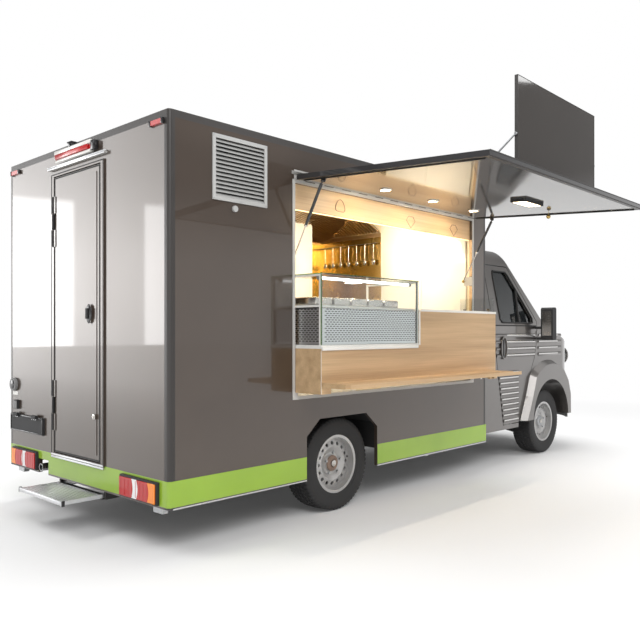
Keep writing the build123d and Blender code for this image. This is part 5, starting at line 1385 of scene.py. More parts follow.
@dataclass
class Lid(Assembly):
    """Lining, edge frame, warm spots and struts of the raised lid, and the sign."""

    x: tuple[float, float] = (-2.243, 0.073)
    reach: tuple[float, float] = (0.012, 1.51)
    under: float = -0.005
    edge: float = 0.03
    rim: float = 0.028
    spots: tuple[float, ...] = (-1.62, -1.02, -0.42)
    spot_reach: float = 0.3
    struts: tuple[float, float] = (-2.201, 0.031)
    strut_top: Point = (0.0, -1.325, 2.3566)
    strut_foot: Point = (0.0, -1.02, 1.81)
    tube_length: float = 0.322
    collar: tuple[float, float] = (0.0115, 0.0128)
    sign_x: tuple[float, float] = (-1.675, -0.525)
    sign_z: tuple[float, float] = (2.352, 2.9205)
    sign_y: tuple[float, float] = (-2.48388, -2.46088)
    sign_edge: float = 0.0035

    NODES = {"awning": "lid_skin", "strut_tubes": "black_gloss", "strut_rods": "stainless",
             "sign": "sign_face", "sign_stays": "galvanised"}
    LENS = ((0.0, 0.0), (0.0, 0.036), (0.004, 0.034), (0.006, 0.0))
    RIM = ((0.0, 0.0365), (0.0, 0.048), (0.005, 0.047), (0.008, 0.041), (0.007, 0.0365), (0.0, 0.0365))

    def _parts(self) -> tuple[Part, ...]:
        """Ball joints and collars of the gas struts, and the edge round the blank sign.

        Returns:
            The parts, in the order in which they are made.
        """
        top = Vector(self.strut_top)
        run = (Vector(self.strut_foot) - top).normalized()
        collars = []
        for x in self.struts:
            start = top + run * self.tube_length + Vector((x, 0.0, 0.0))
            collars.append((tuple(start), tuple(start + run * self.collar[0]), self.collar[1]))
        (west, east), (front, back), (low, high) = self.sign_x, self.sign_y, self.sign_z
        edge = self.sign_edge
        return (
            Part("strut_collars", "stainless", "strut_tubes", rods=collars),
            Part("strut_ball_joints", "black_gloss", "strut_tubes", balls=tuple(
                ((x, top.y, top.z), (0.0125, 0.0135, 0.0135)) for x in self.struts)),
            Part("sign_edge", "corner_profile", "sign", boxes=(
                ((west - edge, front, low), (west - 0.0002, back, high + edge)),
                ((east + 0.0002, front, low), (east + edge, back, high + edge)),
                ((west, front, high + 0.0002), (east, back, high + edge)))),
        )

    @staticmethod
    def _slabs(spans: Iterable[tuple[float, ...]]) -> Shape:
        """Slabs that lie along the lid.

        Args:
            spans: Low and high X, near and far reach, low and high side of each slab.

        Returns:
            The slabs as one shape.
        """
        shape = Shape()
        for low_x, high_x, near, far, low, high in spans:
            corners = [sloped(near, low), sloped(far, low), sloped(far, high), sloped(near, high)]
            shape.prism(corners, Axis.X, low_x, high_x)
        return shape

    def _shapes(self, shop: Workshop) -> None:
        """Lining, edge trims, front lips, long fitting, seals and lamps.

        Args:
            shop: The workshop that makes and fits the pieces.
        """
        (west, east), (near, far), under = self.x, self.reach, self.under
        edge, rim, trim = self.edge, self.rim, (under - 0.0032, under - 0.0003)
        lip = (west, east, far + 0.0002, far + 0.0025)
        for name, finish, spans in (
                ("lid_lining", "lid_lining", (
                    (west + edge, east - edge, near + 0.004, far - edge, under - 0.0015, under - 0.0001),)),
                ("lid_edge_trim", "corner_profile", (
                    (west - 0.0015, west + rim, near, far, *trim),
                    (east - rim, east + 0.0015, near, far, *trim),
                    (west + rim + 0.0005, east - rim - 0.0005, far - rim, far + 0.0015, *trim))),
                ("lid_front_lips", "corner_profile", ((*lip, -0.004, 0.0005), (*lip, 0.0245, 0.0295))),
                ("lid_fitting", "black_plastic",
                 ((-0.82, -0.54, 0.86, 0.99, under - 0.022, under - 0.0018),)),
                ("lid_fitting_lens", "warm_lamp", (
                    (-0.8, -0.56, 0.875, 0.975, under - 0.0235, under - 0.0222),))):
            shop.add(self._slabs(spans), name, finish, "awning")
        seal = Shape()
        for x in (west + 0.036, east - 0.036):
            seal.tube([(x, *sloped(along, under - 0.006)) for along in (0.05, 0.6, 1.2, 1.465)], 0.0045, 8)
        shop.add(seal, "lid_seal", "gasket", "awning")
        self._lamps(shop)

    def _lamps(self, shop: Workshop) -> None:
        """Round spots under the lid, their rims and a small pendant.

        Args:
            shop: The workshop that makes and fits the pieces.
        """
        lens, rim = Shape(), Shape()
        for x in self.spots:
            place = (x, *sloped(self.spot_reach, self.under - 0.0018))
            down = facing(place, (0.0, math.sin(LEAN), -1.0), (0.0, 1.0, 0.0))
            for target, profile in ((lens, self.LENS), (rim, self.RIM)):
                target.joined(Shape().turned(profile, (0.0, 0.0, 0.0), Axis.Z, 28), down)
        shop.add(lens, "lid_spot_lenses", "warm_lamp", "awning")
        shop.add(rim, "lid_spot_rims", "stainless", "awning")
        x, (y, z) = -0.06, sloped(0.8, self.under - 0.002)
        drop = Shape().rod((x, y, z), (x, y, z - 0.016), 0.002, 8)
        drop.ball((x, y, z - 0.034), (0.02, 0.02, 0.02), 4)
        shop.add(drop, "lid_pendant", "brass", "awning")


@dataclass
class Counter(Assembly):
    """Oak counter, its white rims, show case details and kitchenware inside the case."""

    front: float = -1.34
    back: float = -0.813
    case_x: tuple[float, float] = (-2.229, -1.143)
    right_x: float = 0.059
    base: float = 1.225
    rail: float = 1.52
    top: float = 1.735

    NODES = {"counter_case": "oak", "counter_top": "white_lacquer", "vitrine": "white_lacquer",
             "vitrine_glass": "clear_glass", "shelf": "oak"}

    def _parts(self) -> tuple[Part, ...]:
        """Rims, brackets, edges of glass, lamp tube and upstand.

        Returns:
            The parts, in the order in which they are made.
        """
        west, east = self.case_x
        front, back, base, rail, top = self.front, self.back, self.base, self.rail, self.top
        return (
            Part("case_ledge", "white_lacquer", "counter", edge=0.003, boxes=(
                ((west - 0.001, front - 0.014, base - 0.012),
                 (east + 0.001, front - 0.0003, base + 0.012)),)),
            Part("case_black_post", "black_plastic", "counter", boxes=(
                ((west + 0.001, front + 0.0065, base + 0.027), (west + 0.012, front + 0.0078, top - 0.006)),
                ((east - 0.012, front + 0.0065, base + 0.027),
                 (east - 0.001, front + 0.0078, top - 0.006)))),
            Part("glass_edges", "food_green", "counter", boxes=(
                ((west, front - 0.0006, top + 0.0001), (east, front + 0.0055, top + 0.0016)),
                ((west - 0.0012, front + 0.006, top - 0.0058), (west - 0.0001, back - 0.12, top + 0.0001)),
                ((east + 0.0001, front + 0.006, top - 0.0058), (east + 0.0012, back - 0.12, top + 0.0001)),
                ((west - 0.0012, front, base + 0.0255), (west - 0.0001, front + 0.0055, top)),
                ((east + 0.0001, front, base + 0.0255), (east + 0.0012, front + 0.0055, top)))),
            Part("case_tube_lamp", "cool_lamp", "counter", rods=(
                ((west + 0.05, front + 0.055, top - 0.03), (east - 0.05, front + 0.055, top - 0.03),
                 0.009),)),
            Part("case_tube_caps", "grey_plastic", "counter", rods=(
                ((west + 0.022, front + 0.055, top - 0.03), (west + 0.0495, front + 0.055, top - 0.03),
                 0.012),
                ((east - 0.0495, front + 0.055, top - 0.03), (east - 0.022, front + 0.055, top - 0.03),
                 0.012))),
            Part("case_shelf_rails", "stainless", "counter", edge=0.001, boxes=(
                ((west + 0.016, front + 0.022, rail - 0.02),
                 (east - 0.016, front + 0.034, rail - 0.0145)),)),
            Part("case_floor", "stainless", "counter", boxes=(
                ((west + 0.0125, front + 0.015, base + 0.0062),
                 (east - 0.0125, back - 0.0125, base + 0.0082)),)),
            Part("case_grey_panel", "grey_plastic", "counter", edge=0.002, boxes=(
                ((west + 0.03, back - 0.03, base + 0.03), (east - 0.03, back - 0.0155, rail - 0.018)),)),
            Part("oak_white_edge", "white_lacquer", "counter", boxes=(
                ((west - 0.0016, front - 0.0004, 0.919), (west - 0.0002, front + 0.003, base - 0.0125)),
                ((-1.1205, front - 0.003, base + 0.0125), (-1.104, front - 0.0002, rail - 0.0215)),
                ((-1.1035, front - 0.0062, rail - 0.0195), (self.right_x, front - 0.0043, rail - 0.0005)))),
            Part("shelf_brackets", "white_lacquer", "counter", edge=0.001, boxes=(
                ((-1.92, front - 0.005, 0.925), (-1.9, front - 0.0002, 0.958)),
                ((-0.2, front - 0.005, 0.925), (-0.18, front - 0.0002, 0.958)))),
            Part("end_block", "oak", "counter", edge=0.002, boxes=(
                ((0.000, front - 0.018, 0.921), (0.057, front - 0.0003, 0.963)),)),
            Part("upstand", "clear_glass", "counter", boxes=(
                ((0.049, front + 0.02, rail + 0.0005), (0.055, front + 0.36, rail + 0.125)),)),
            Part("upstand_feet", "stainless", "counter", boxes=(
                ((0.044, front + 0.05, rail + 0.0003), (0.0485, front + 0.08, rail + 0.03)),
                ((0.044, front + 0.3, rail + 0.0003), (0.0485, front + 0.33, rail + 0.03)))),
            Part("shelf_edge", "oak", "shelf", boxes=(
                ((-2.227, -1.6002, 0.9655), (0.055, -1.599, 0.9945)),)),
            Part("perforated_panel", "alloy", "counter", boxes=(
                ((west + 0.016, front + 0.0095, base + 0.028),
                 (east - 0.016, front + 0.0125, rail - 0.022)),
                ((west + 0.0145, front + 0.024, base + 0.028),
                 (west + 0.0165, back - 0.03, rail - 0.022)))),
        )

    def _shapes(self, shop: Workshop) -> None:
        """Staggered dark marks on the perforated panels, painted shade standing in for their holes, and
        steel containers on the middle rail.

        Args:
            shop: The workshop that makes and fits the pieces.
        """
        west, front = self.case_x[0], self.front
        # Near-black marks laid on the panels' faces: painted shade where the holes are.
        for name, x, y, count, across, deep in (
                ("perforated_hole_shade", (0.04, 0.062), (0.009, 0.0096), 31, 1, 0),
                ("perforated_side_hole_shade", (0.0138, 0.0146), (0.04, 0.062), 13, 0, 1)):
            slot = Shape().box((west + x[0], front + y[0], self.base + 0.047),
                               (west + x[1], front + y[1], self.base + 0.0535))
            rows = (Row(count, step=(across * 0.0335, deep * 0.0335, 0.0)),
                    Row(2, step=(across * 0.0165, deep * 0.0165, 0.0145)), Row(8, step=(0.0, 0.0, 0.029)))
            shop.spread(slot, rows, name, "gasket", "counter")
        pan = Shape().box((west + 0.07, front + 0.12, self.rail + 0.001),
                          (west + 0.24, front + 0.4, self.rail + 0.062))
        pan.rounded(0.012, 2)
        shop.spread(pan, (Row(5, step=(0.19, 0.0, 0.0)),), "food_containers", "stainless", "counter")


@dataclass
class Galley(Assembly):
    """Linings, fascia, hood and the fittings seen through the serving window."""

    low_x: float = -3.232
    high_x: float = 0.283
    wall: float = 1.061
    ceiling: float = 2.602
    floor: float = 0.502
    wire_place: tuple[float, float] = (-1.0705, 2.268)
    slat_pitch: float = 0.0432
    slat_width: float = 0.018

    NODES = {"hood": "bronze_slat", "kitchen_units": "white_lacquer"}
    DROP = ((0.062, 0.0), (0.03, 0.036), (-0.03, 0.036), (-0.062, 0.0), (0.0, -0.06))
    END = ((-0.11, 2.577), (-0.11, 2.592), (0.255, 2.417), (0.255, 2.402))
    BAFFLE = ((0.484, 2.142), (0.4905, 2.146), (0.955, 1.9695), (0.949, 1.9645))
    BACKING = (
        (((0.162, 2.5975), (0.162, 2.601), (1.03, 2.3755), (1.03, 2.372)), Axis.X, -0.289, 0.255),
        (((0.162, 2.5975), (0.162, 2.601), (0.61, 2.485), (0.61, 2.4815)), Axis.X, -1.241, -0.2895),
        (((-0.11, 2.5925), (-0.11, 2.596), (0.2555, 2.421), (0.2555, 2.4175)), Axis.Y, 0.163, 1.03))

    def _parts(self) -> tuple[Part, ...]:
        """Linings, fascia, lamps, cupboard fronts and worktop things.

        Returns:
            The parts, in the order in which they are made.
        """
        low, high, wall, top = self.low_x, self.high_x, self.wall, self.ceiling
        return (
            Part("galley_lining", "warm_lining", boxes=(
                ((low, wall - 0.003, 1.402), (high, wall, top)),
                ((low, -wall, top - 0.0005), (high, wall - 0.003, top + 0.0022)),
                ((high - 0.003, -wall, self.floor), (high, wall - 0.003, top - 0.001)))),
            Part("galley_floor", "grey_plastic", boxes=(
                ((low, -0.7, self.floor - 0.0015), (high - 0.004, 0.48, self.floor + 0.0015)),)),
            Part("oak_fascia", "oak", boxes=(
                ((-2.2545, -1.0665, 2.1985), (0.0845, -1.0632, 2.389)),
                ((-2.2545, -1.0665, 2.195), (0.0845, -1.0446, 2.1978)))),
            Part("oak_jambs", "oak", boxes=(
                ((0.0622, -1.0915, 1.53), (0.0648, -1.0645, 1.765)),
                ((0.0622, -1.0915, 1.855), (0.0648, -1.0645, 2.195)),
                ((-2.2348, -1.0915, 1.24), (-2.2322, -1.0645, 1.765)),
                ((-2.2348, -1.0915, 1.855), (-2.2322, -1.0645, 2.195)))),
            Part("fascia_light_line", "light_strip", boxes=(
                ((-2.225, -1.0645, 2.1905), (0.055, -1.048, 2.1948)),)),
            Part("ceiling_lamps", "warm_lamp", edge=0.002, boxes=tuple(
                ((x - 0.3, -0.3, top - 0.02), (x + 0.3, -0.16, top - 0.002)) for x in (-1.2, -0.3))),
            Part("cupboard_doors", "white_lacquer", edge=0.003, boxes=tuple(
                ((x, 0.621, 1.412), (x + 0.286, 0.6425, 2.55)) for x in (-1.176, -0.883, -0.59))),
            Part("cupboard_pulls", "stainless", rods=tuple(
                ((x, 0.6, 1.47), (x, 0.6, 1.62), 0.006) for x in (-0.915, -0.622, -0.33))),
            Part("unit_doors", "white_lacquer", edge=0.003, boxes=tuple(
                ((-1.255 + 0.371 * step, 0.4885, 0.56),
                 (-0.89 + 0.371 * step, 0.5025, 1.345)) for step in range(4))),
            Part("worktop_skin", "stainless", boxes=(
                ((-2.934, 0.4835, 1.4005), (0.268, 1.056, 1.4035)),)),
            Part("cooker_pots", "stainless", rods=(
                ((-2.05, 0.78, 1.404), (-2.05, 0.78, 1.56), 0.13),
                ((-1.66, 0.8, 1.404), (-1.66, 0.8, 1.51), 0.105),
                ((-2.46, 0.8, 1.404), (-2.46, 0.8, 1.5), 0.115))),
            Part("splash_back", "stainless", boxes=(((-2.93, 1.0545, 1.405), (-1.19, 1.0575, 1.955)),)),
            Part("hood_lip", "stainless", edge=0.002, boxes=(
                ((-2.905, 0.47, 2.218), (-1.495, 0.4795, 2.262)),
                ((-1.4995, 0.48, 2.18), (-1.488, 1.05, 2.56)))),
            Part("tall_cupboard", "white_lacquer", edge=0.003, boxes=(
                ((0.2625, -0.9, 0.53), (0.2795, -0.378, 2.56)),
                ((0.2625, -0.374, 0.53), (0.2795, 0.15, 2.56)))),
            Part("front_splash_back", "brass", boxes=(
                ((0.27, 0.153, 1.405), (0.2795, 1.047, 2.37)),
                ((-0.29, 1.048, 1.405), (0.269, 1.0575, 2.37)))),
            Part("front_hood", "bronze_slat", boxes=(
                ((0.256, 0.153, 2.36), (0.2795, 1.047, 2.4)), ((-0.29, 1.03, 2.345), (0.255, 1.057, 2.378)),
                ((-1.25, 0.153, 2.575), (0.255, 0.159, 2.601)))),
            Part("utensil_rail", "stainless", rods=(
                ((0.238, 0.18, 2.295), (0.238, 1.04, 2.295), 0.006),
                ((0.262, 0.4, 2.295), (0.238, 0.4, 2.295), 0.004),
                ((0.262, 0.85, 2.295), (0.238, 0.85, 2.295), 0.004))),
            Part("jamb_studs", "brass", balls=(
                ((-2.201, -1.02, 1.81), (0.0145, 0.014, 0.014)),
                ((0.031, -1.02, 1.81), (0.0145, 0.014, 0.014))),
                body="strut_rods"),
        )

    def _shapes(self, shop: Workshop) -> None:
        """Utensils, slats and edges of the hoods, and three thin wire outlines before the fascia.

        Args:
            shop: The workshop that makes and fits the pieces.
        """
        wires = Shape()
        y, z = self.wire_place
        pebble = [(0.052 * math.sin(turn), -0.045 * math.cos(turn) + 0.012 * math.cos(2.0 * turn))
                  for turn in (math.tau * step / 16.0 for step in range(16))]
        for x, outline in ((-1.74, pebble), (-0.86, self.DROP), (-0.21, self.DROP)):
            wires.tube([(x + across, y, z + rise) for across, rise in outline], 0.0021, 6, closed=True)
        shop.add(wires, "fascia_wires", "hub_rust")
        ladle = Shape().rod((0.0, 0.0, 0.0), (0.0, 0.0, -0.19), 0.0035, 10)
        ladle.ball((0.0, -0.004, -0.215), (0.03, 0.014, 0.032), 8)
        ladle.rod((0.0, 0.0, 0.0), (0.0, 0.014, 0.01), 0.003, 8)
        shop.spread(ladle, (Row(9, (-2.76, 1.01, 1.812), (0.128, 0.0, 0.0)),), "hanging_utensils",
                    "stainless")
        spoon = Shape().rod((0.0, 0.0, 0.0), (0.0, 0.0, -0.17), 0.0035, 10)
        spoon.ball((-0.004, 0.0, -0.195), (0.012, 0.027, 0.032), 8)
        shop.spread(spoon, (Row(7, (0.238, 0.235, 2.286), (0.0, 0.118, 0.0)),), "front_utensils",
                    "stainless")
        pitch, thick = self.slat_pitch, self.slat_width
        for name, finish, outline, axis, low, width, count, step in (
                ("front_hood_slats", "bronze_slat", self._slope(1.03), Axis.X, -0.288, thick, 13, pitch),
                ("middle_hood_slats", "bronze_slat", self._slope(0.61), Axis.X, -1.24, thick, 22, pitch),
                ("end_hood_slats", "bronze_slat", self.END, Axis.Y, 0.166, thick, 20, pitch),
                ("hood_baffle_edges", "brass", self.BAFFLE, Axis.X, -2.868, 0.023, 22, 0.0605)):
            slat = Shape().prism(outline, axis, low, low + width)
            way = (step, 0.0, 0.0) if axis is Axis.X else (0.0, step, 0.0)
            shop.spread(slat, (Row(count, step=way),), name, finish)
        backing = Shape()
        for outline, axis, low, high in self.BACKING:
            backing.prism(outline, axis, low, high)
        shop.add(backing, "hood_backing", "corner_profile")

    @staticmethod
    def _slope(deep: float) -> Outline:
        """Section of one slat that falls from the ceiling to a depth."""
        low = 2.582 - (deep - 0.162) * 0.26
        return [(0.162, 2.582), (0.162, 2.597), (deep, low + 0.015), (deep, low)]


def on_screen(rise: float, y: float, lift: float) -> Point:
    """Place on the raked, curved windscreen.

    Args:
        rise: Distance up the slope from the screen's foot.
        y: Distance across.
        lift: Distance outside the glass.

    Returns:
        The place.
    """
    run, sag, half_chord = 1.168, 0.13, 0.475
    length = math.hypot(run, 1.0)
    radius = (4.0 * half_chord ** 2 + sag ** 2) / (2.0 * sag)
    out = sag - (radius - math.sqrt(radius ** 2 - y ** 2)) - 0.016 + 0.006 + lift
    return (1.71 - rise * run / length + out / length, y, 1.412 + rise / length + out * run / length)


@dataclass
class Cab(Assembly):
    """Finish and small parts of the ribbed cab."""

    half: float = 1.025
    belt: float = 1.412
    gutter: tuple[float, float] = (0.945, 2.055)
    upper_rib: float = 1.104
    upper_pitch: float = 0.068
    upper_count: int = 4
    lower_rib: float = 0.444
    lower_pitch: float = 0.054
    lower_count: int = 10
    lower_rake: float = 0.203
    rib_out: float = 0.0078
    lamp: Point = (2.47, 0.815, 1.06)

    NODES = {
        "cab_shell": "cab_paint", "cab_door_right": "cab_paint", "cab_door_left": "cab_paint",
        "fenders": "cab_paint", "bonnet": "cab_paint", "nose": "cab_paint", "bumper": "grey_plastic",
        "windscreen": "tinted_glass", "door_glass_right": "tinted_glass", "door_glass_left": "tinted_glass",
        "mirror_right": "black_plastic", "mirror_left": "black_plastic", "headlamps": "lamp_glass",
        "dashboard": "dash_plastic", "seats": "seat_cloth", "cab_floor": "underbody",
    }
    WINDOW = ((0.648, 1.955), (0.72, 1.434), (1.393, 1.434), (1.393, 1.488), (0.93, 1.955))
    CORNER_SHARES = (0.06, 0.5, 0.94)
    CROWN = ((0.0, -0.0075), (0.0018, -0.005), (0.0027, 0.0), (0.0018, 0.005), (0.0, 0.0075))
    RIM = ((0.0, 0.1088), (0.0, 0.118), (0.01, 0.12), (0.022, 0.116), (0.026, 0.1088), (0.0, 0.1088))
    BOWL = ((0.0245, 0.0), (0.0245, 0.098), (0.0262, 0.098), (0.0262, 0.0))

    def _parts(self) -> tuple[Part, ...]:
        """The radiator behind the nose's slots."""
        return (Part("radiator_core", "gasket", boxes=(((2.315, -0.41, 0.585), (2.33, 0.41, 1.000)),)),)

    def _shapes(self, shop: Workshop) -> None:
        """Small parts of both doors, painted highlights on the ribs, and the front.

        Args:
            shop: The workshop that makes and fits the pieces.
        """
        for hand, side in (("right", -1), ("left", 1)):
            self._door(shop, hand, side)
            self._ribs(shop, hand, side)
        self._front(shop)

    def _skin(self, z: float, off: float) -> float:
        """Half width of the cab's side at a height, plus a distance out."""
        share = max(0.0, (z - self.belt) / (self.gutter[1] - self.belt))
        return self.half + (self.gutter[0] - self.half) * share + off

    def _door(self, shop: Workshop, hand: str, side: int) -> None:
        """Window seal, divider, grip and mirror glass of one door.

        Args:
            shop: The workshop that makes and fits the pieces.
            hand: "left" or "right", for the pieces' names.
            side: -1 for the right side, 1 for the left.
        """
        body = f"cab_door_{hand}"
        corners = []
        for (x, z), after in zip(self.WINDOW, self.WINDOW[1:] + self.WINDOW[:1]):
            corners += [(x + (after[0] - x) * share, z + (after[1] - z) * share)
                        for share in self.CORNER_SHARES]
        path = [(x, side * self._skin(z, 0.001), z) for x, z in corners]
        seal = Shape().tube(path, 0.0085, 8, closed=True)
        shop.add(seal, f"window_seal_{hand}", "gasket", body)
        ends = ((1.105, 1.44), (1.105, 1.772))
        divider = Shape().tube([(x, side * self._skin(z, -0.006), z) for x, z in ends], 0.013, 10)
        shop.add(divider, f"window_divider_{hand}", "gasket", body)
        skin = self.half
        for name, finish, edge, block in (
                ("door_grip", "black_gloss", 0.004,
                 ((0.752, skin + 0.0005, 1.085), (0.778, skin + 0.013, 1.27))),
                ("door_rubbing", "gasket", 0.001,
                 ((0.6, skin - 0.004, 1.3985), (1.478, skin + 0.0025, 1.4105))),
                ("mirror_glass", "stainless", 0.0, ((1.4232, 1.122, 1.3), (1.4248, 1.224, 1.56))),
                ("mirror_lamp", "orange_lens", 0.002, ((1.5125, 1.15, 1.3), (1.5155, 1.222, 1.325)))):
            Part(f"{name}_{hand}", finish, body, edge=edge, boxes=(both(block)[side < 0],)).build(shop)

    def _crown(self, side: int, z: float) -> Outline:
        """Section of the bright strip on the crown of one pressed rib, a painted highlight.

        Args:
            side: -1 for the right side, 1 for the left.
            z: Height of the rib.

        Returns:
            Points as (y, z).
        """
        out = self.half + self.rib_out
        return [(side * (out + proud), z + rise) for proud, rise in self.CROWN]

    def _ribs(self, shop: Workshop, hand: str, side: int) -> None:
        """Bright metal strips along the crowns of the pressed ribs of one side: painted highlights.

        Args:
            shop: The workshop that makes and fits the pieces.
            hand: "left" or "right", for the pieces' names.
            side: -1 for the right side, 1 for the left.
        """
        door = f"cab_door_{hand}"
        # Each strip is a pale bead on a rib's crown that paints that rib's highlight.
        for name, body, low_x, high_x in (("upper", door, 0.83, 1.435),
                                          ("fender", "chassis", 1.528, 1.985)):
            bead = Shape().prism(self._crown(side, self.upper_rib), Axis.X, low_x, high_x)
            rows = (Row(self.upper_count, step=(0.0, 0.0, self.upper_pitch)),)
            shop.spread(bead, rows, f"{name}_ribs_{hand}", "rib_painted_highlight", body)
        lower = Shape()
        for step in range(self.lower_count):
            z = self.lower_rib + self.lower_pitch * step
            lower.prism(self._crown(side, z), Axis.X, 0.786 - self.lower_rake * (z - 0.402), 1.07)
        shop.add(lower, f"lower_ribs_{hand}", "rib_painted_highlight", door)

    def _front(self, shop: Workshop) -> None:
        """Headlamp rims, lenses and bulbs, and the wipers.

        Args:
            shop: The workshop that makes and fits the pieces.
        """
        rims, bowls, bulbs = Shape(), Shape(), Shape()
        x, y, z = self.lamp
        for side in (-1, 1):
            place = (x, side * y, z)
            rims.turned(self.RIM, place, Axis.X, 56)
            bulbs.ball((x + 0.03, side * y, z), (0.004, 0.03, 0.03), 10)
            bowls.turned(self.BOWL, place, Axis.X, 56)
        shop.add(rims, "headlamp_rims", "stainless")
        shop.add(bowls, "headlamp_lenses", "white_lens")
        shop.add(bulbs, "headlamp_bulbs", "cool_lamp")
        for hand, foot, tip in (("right", -0.5, -0.06), ("left", 0.12, 0.56)):
            arm = ((0.06, foot, 0.018), (0.22, foot + 0.1, 0.02), (0.4, tip, 0.016))
            blade = ((0.14, tip - 0.24, 0.009), (0.4, tip, 0.009), (0.66, tip + 0.2, 0.009))
            shape = Shape()
            for run, radius in ((arm, 0.007), (blade, 0.006)):
                shape.tube([on_screen(*place) for place in run], radius, 8)
            shop.add(shape, f"wiper_{hand}", "black_plastic")


@dataclass
class Underbody(Assembly):
    """Finish of what carries the truck."""

    NODES = {
        "frame": "underbody", "rear_axle": "underbody", "engine": "galvanised",
        "fuel_tank": "black_plastic",
        "exhaust": "tail_pipe", "knuckle_right": "underbody", "knuckle_left": "underbody", "step": "alloy",
        "steady_rear_right": "galvanised", "steady_rear_left": "galvanised",
        "steady_front_right": "galvanised", "steady_front_left": "galvanised",
    }

    def _parts(self) -> tuple[Part, ...]:
        """The tank's straps."""
        return (Part("tank_straps", "galvanised", boxes=tuple(
            ((x, 0.466, 0.2478), (x + 0.04, 0.848, 0.2498)) for x in (-0.98, -0.46))),)


ASSEMBLIES = (Wheels, BodyShell, RearFace, Lid, Counter, Galley, Cab, Underbody)


class Sky(Shader):
    """The world's node tree, with the same short calls as a material's."""

    def __init__(self, name: str) -> None:
        """Start the scene's world.

        Args:
            name: The world's name.
        """
        world = bpy.data.worlds.new(name)
        bpy.context.scene.world = world
        world.use_nodes = True
        self.tree = world.node_tree
        self.surface = self.tree.nodes["Background"]


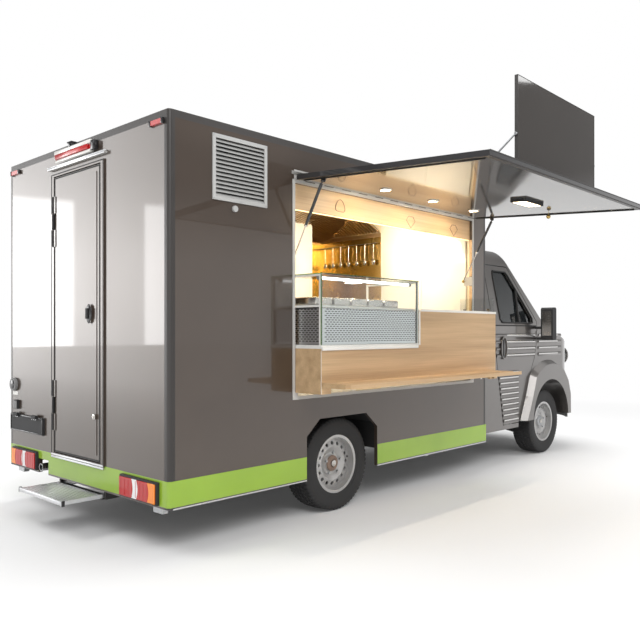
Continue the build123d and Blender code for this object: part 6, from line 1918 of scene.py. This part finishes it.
@dataclass
class Studio:
    """Pale floor, plain lamps, warm galley lamps and the photograph's camera."""

    eye: Point = (-5.644, -4.586, 1.3365)
    heading: float = math.radians(43.035)
    focal_px: float = 705.0
    frame_px: float = 640.0
    sensor: float = 36.0
    shift: tuple[float, float] = (-0.012, 0.0191)
    floor_half: float = 60.0
    floor_grey: float = 0.78
    floor_glow: float = 0.04
    floor_oval: float = 0.36
    fade: tuple[float, float] = (2.4, 5.0)
    shine_from: tuple[float, float] = (-5.0, -11.0)
    fill: float = 0.52
    horizon: float = 1.1
    upper: float = 0.3
    overhead: float = 0.7
    glow_floor: float = 1.2
    glow_wall: float = 2.4
    glow_window: float = 3.8
    wall_way: float = -0.55
    window_way: float = -0.574
    dusk: tuple[float, float] = (0.1, 0.21)
    zenith: tuple[float, float] = (0.6, 0.75)
    wall_side: tuple[float, float] = (0.2, 0.28)
    wall_top: tuple[float, float] = (0.3, 0.34)
    window_side: tuple[float, float] = (0.059, 0.063)
    window_top: tuple[float, float] = (0.168, 0.176)

    WARM = (1.0, 0.84, 0.62)
    WHITE = (1.0, 1.0, 1.0)
    LAMPS = (
        ("key", (-6.5, -8.5, 7.5), (-1.0, 0.0, 1.0), 5.0, 560.0, WHITE),
        ("side", (5.5, -7.5, 8.6), (0.5, 0.0, 1.0), 5.0, 330.0, WHITE),
        ("rear", (-8.0, 2.0, 8.5), (-2.5, 0.0, 1.2), 4.0, 300.0, WHITE),
        ("far", (0.0, 9.0, 6.0), (0.0, 0.0, 1.0), 5.0, 260.0, WHITE),
        ("overhead", (0.0, 0.5, 9.0), (0.0, 0.0, 0.0), 6.0, 480.0, WHITE),
        ("galley_a", (-1.9, -0.55, 2.44), (-1.9, 0.2, 1.2), 0.25, 13.0, WARM),
        ("galley_b", (-1.1, -0.55, 2.44), (-1.1, 0.2, 1.2), 0.25, 13.0, WARM),
        ("galley_c", (-0.3, -0.55, 2.44), (-0.3, 0.2, 1.2), 0.25, 13.0, WARM),
        ("galley_front", (-0.75, -0.45, 2.45), (0.28, -0.35, 1.9), 0.25, 7.0, WARM),
        ("lid_a", (-1.62, -1.4, 2.36), (-1.62, -1.12, 1.5), 0.07, 5.0, WARM),
        ("lid_b", (-1.02, -1.4, 2.36), (-1.02, -1.12, 1.5), 0.07, 5.0, WARM),
        ("lid_c", (-0.42, -1.4, 2.36), (-0.42, -1.12, 1.5), 0.07, 5.0, WARM),
        ("show_case", (-1.7, -1.16, 1.7), (-1.7, -1.16, 1.2), 0.1, 1.2, (1.0, 0.97, 0.9)),
    )

    def build(self) -> None:
        """Make floor, world, lamps and camera."""
        self._floor()
        self._world()
        self._lamps()
        self._camera()

    def _floor(self) -> None:
        """Lay the floor."""
        half = self.floor_half
        shader = Shader("floor_paper")
        grey, glow = self.floor_grey, self.floor_glow
        across, along = shader.along(Axis.X), shader.along(Axis.Y)
        away = (across * across * self.floor_oval + along * along) ** 0.5
        far, behind = shader.eased(away, *self.fade), shader.eased(across, *self.shine_from)
        shine = behind * shader.node("ShaderNodeLightPath", output="Is Glossy Ray")
        far = far + (1.0 - far) * shine
        shader.set(Base_Color=shader.mixed(far, (grey, grey, grey), (0.0, 0.0, 0.0)), Roughness=0.9,
                   Emission_Color=shader.mixed(far, (glow, glow, glow), (1.0, 1.0, 1.0)),
                   Emission_Strength=shine * self.glow_floor + 1.0, Specular_IOR_Level=0.0)
        floor = Shape().box((-half, -half, -0.05), (half, half, -0.0005)).piece("floor", shader.material)

    def _world(self) -> None:
        """White to camera and glass, a studio with a bright horizon to gloss, a plain level for light."""
        sky = Sky("studio")
        facing_way = sky.node("ShaderNodeTexCoord", output="Generated")
        across, along, rise = (sky.node("ShaderNodeSeparateXYZ", None, {0: facing_way}, axis.value)
                               for axis in Axis)
        level = sky.eased(rise, *self.dusk) * (self.upper - self.horizon) + self.horizon
        level = level + sky.eased(rise, *self.zenith) * self.overhead
        way = across / along
        wall = (1.0 - sky.eased(abs(way - self.wall_way), *self.wall_side)) * (along > 0.0)
        wall = wall * (1.0 - sky.eased(rise, *self.wall_top))
        window = sky.eased(abs(way - self.window_way), *self.window_side)
        window = window * (1.0 - sky.eased(rise, *self.window_top))
        level = level + wall * (window * self.glow_window + self.glow_wall)
        seen, glossy, through = (sky.node("ShaderNodeLightPath", output=name)
                                 for name in ("Is Camera Ray", "Is Glossy Ray", "Is Transmission Ray"))
        open_view = sky.node("ShaderNodeMath", {"operation": "MAXIMUM"}, {0: seen, 1: through})
        light = glossy * level + (1.0 - glossy) * self.fill
        sky.set(Color=(1.0, 1.0, 1.0), Strength=open_view + (1.0 - open_view) * light)

    def _lamps(self) -> None:
        """Hang the soft studio lamps and the truck's own warm ones, each aimed at a point."""
        for name, place, aim, size, power, colour in self.LAMPS:
            data = bpy.data.lights.new(name, "AREA")
            data.size, data.energy, data.color = size, power, colour
            lamp = linked(name, data)
            lamp.location = place
            lamp.visible_camera = False
            lamp.rotation_euler = (Vector(aim) - Vector(place)).to_track_quat("-Z", "Y").to_euler()

    def _camera(self) -> None:
        """Place the photograph's camera."""
        data = bpy.data.cameras.new("camera")
        data.sensor_width = self.sensor
        data.lens = self.focal_px / self.frame_px * self.sensor
        data.shift_x, data.shift_y = self.shift
        camera = linked("camera", data)
        camera.location = self.eye
        camera.rotation_euler = (math.radians(90.0), 0.0, self.heading - math.radians(90.0))
        bpy.context.scene.camera = camera


def main() -> None:
    """Load the frame, dress every sub-assembly, and light the truck."""
    logging.basicConfig(level=logging.INFO, format="%(name)s: %(message)s")
    bpy.ops.wm.read_factory_settings(use_empty=True)
    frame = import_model()
    bpy.context.scene.view_settings.view_transform = "Standard"
    shop = Workshop(frame, Palette(), Repeater())
    for assembly in ASSEMBLIES:
        before = shop.count
        assembly().build(shop)
        log.info("%s: %d pieces", assembly.__name__, shop.count - before)
    Studio().build()


if __name__ == "__main__":
    main()
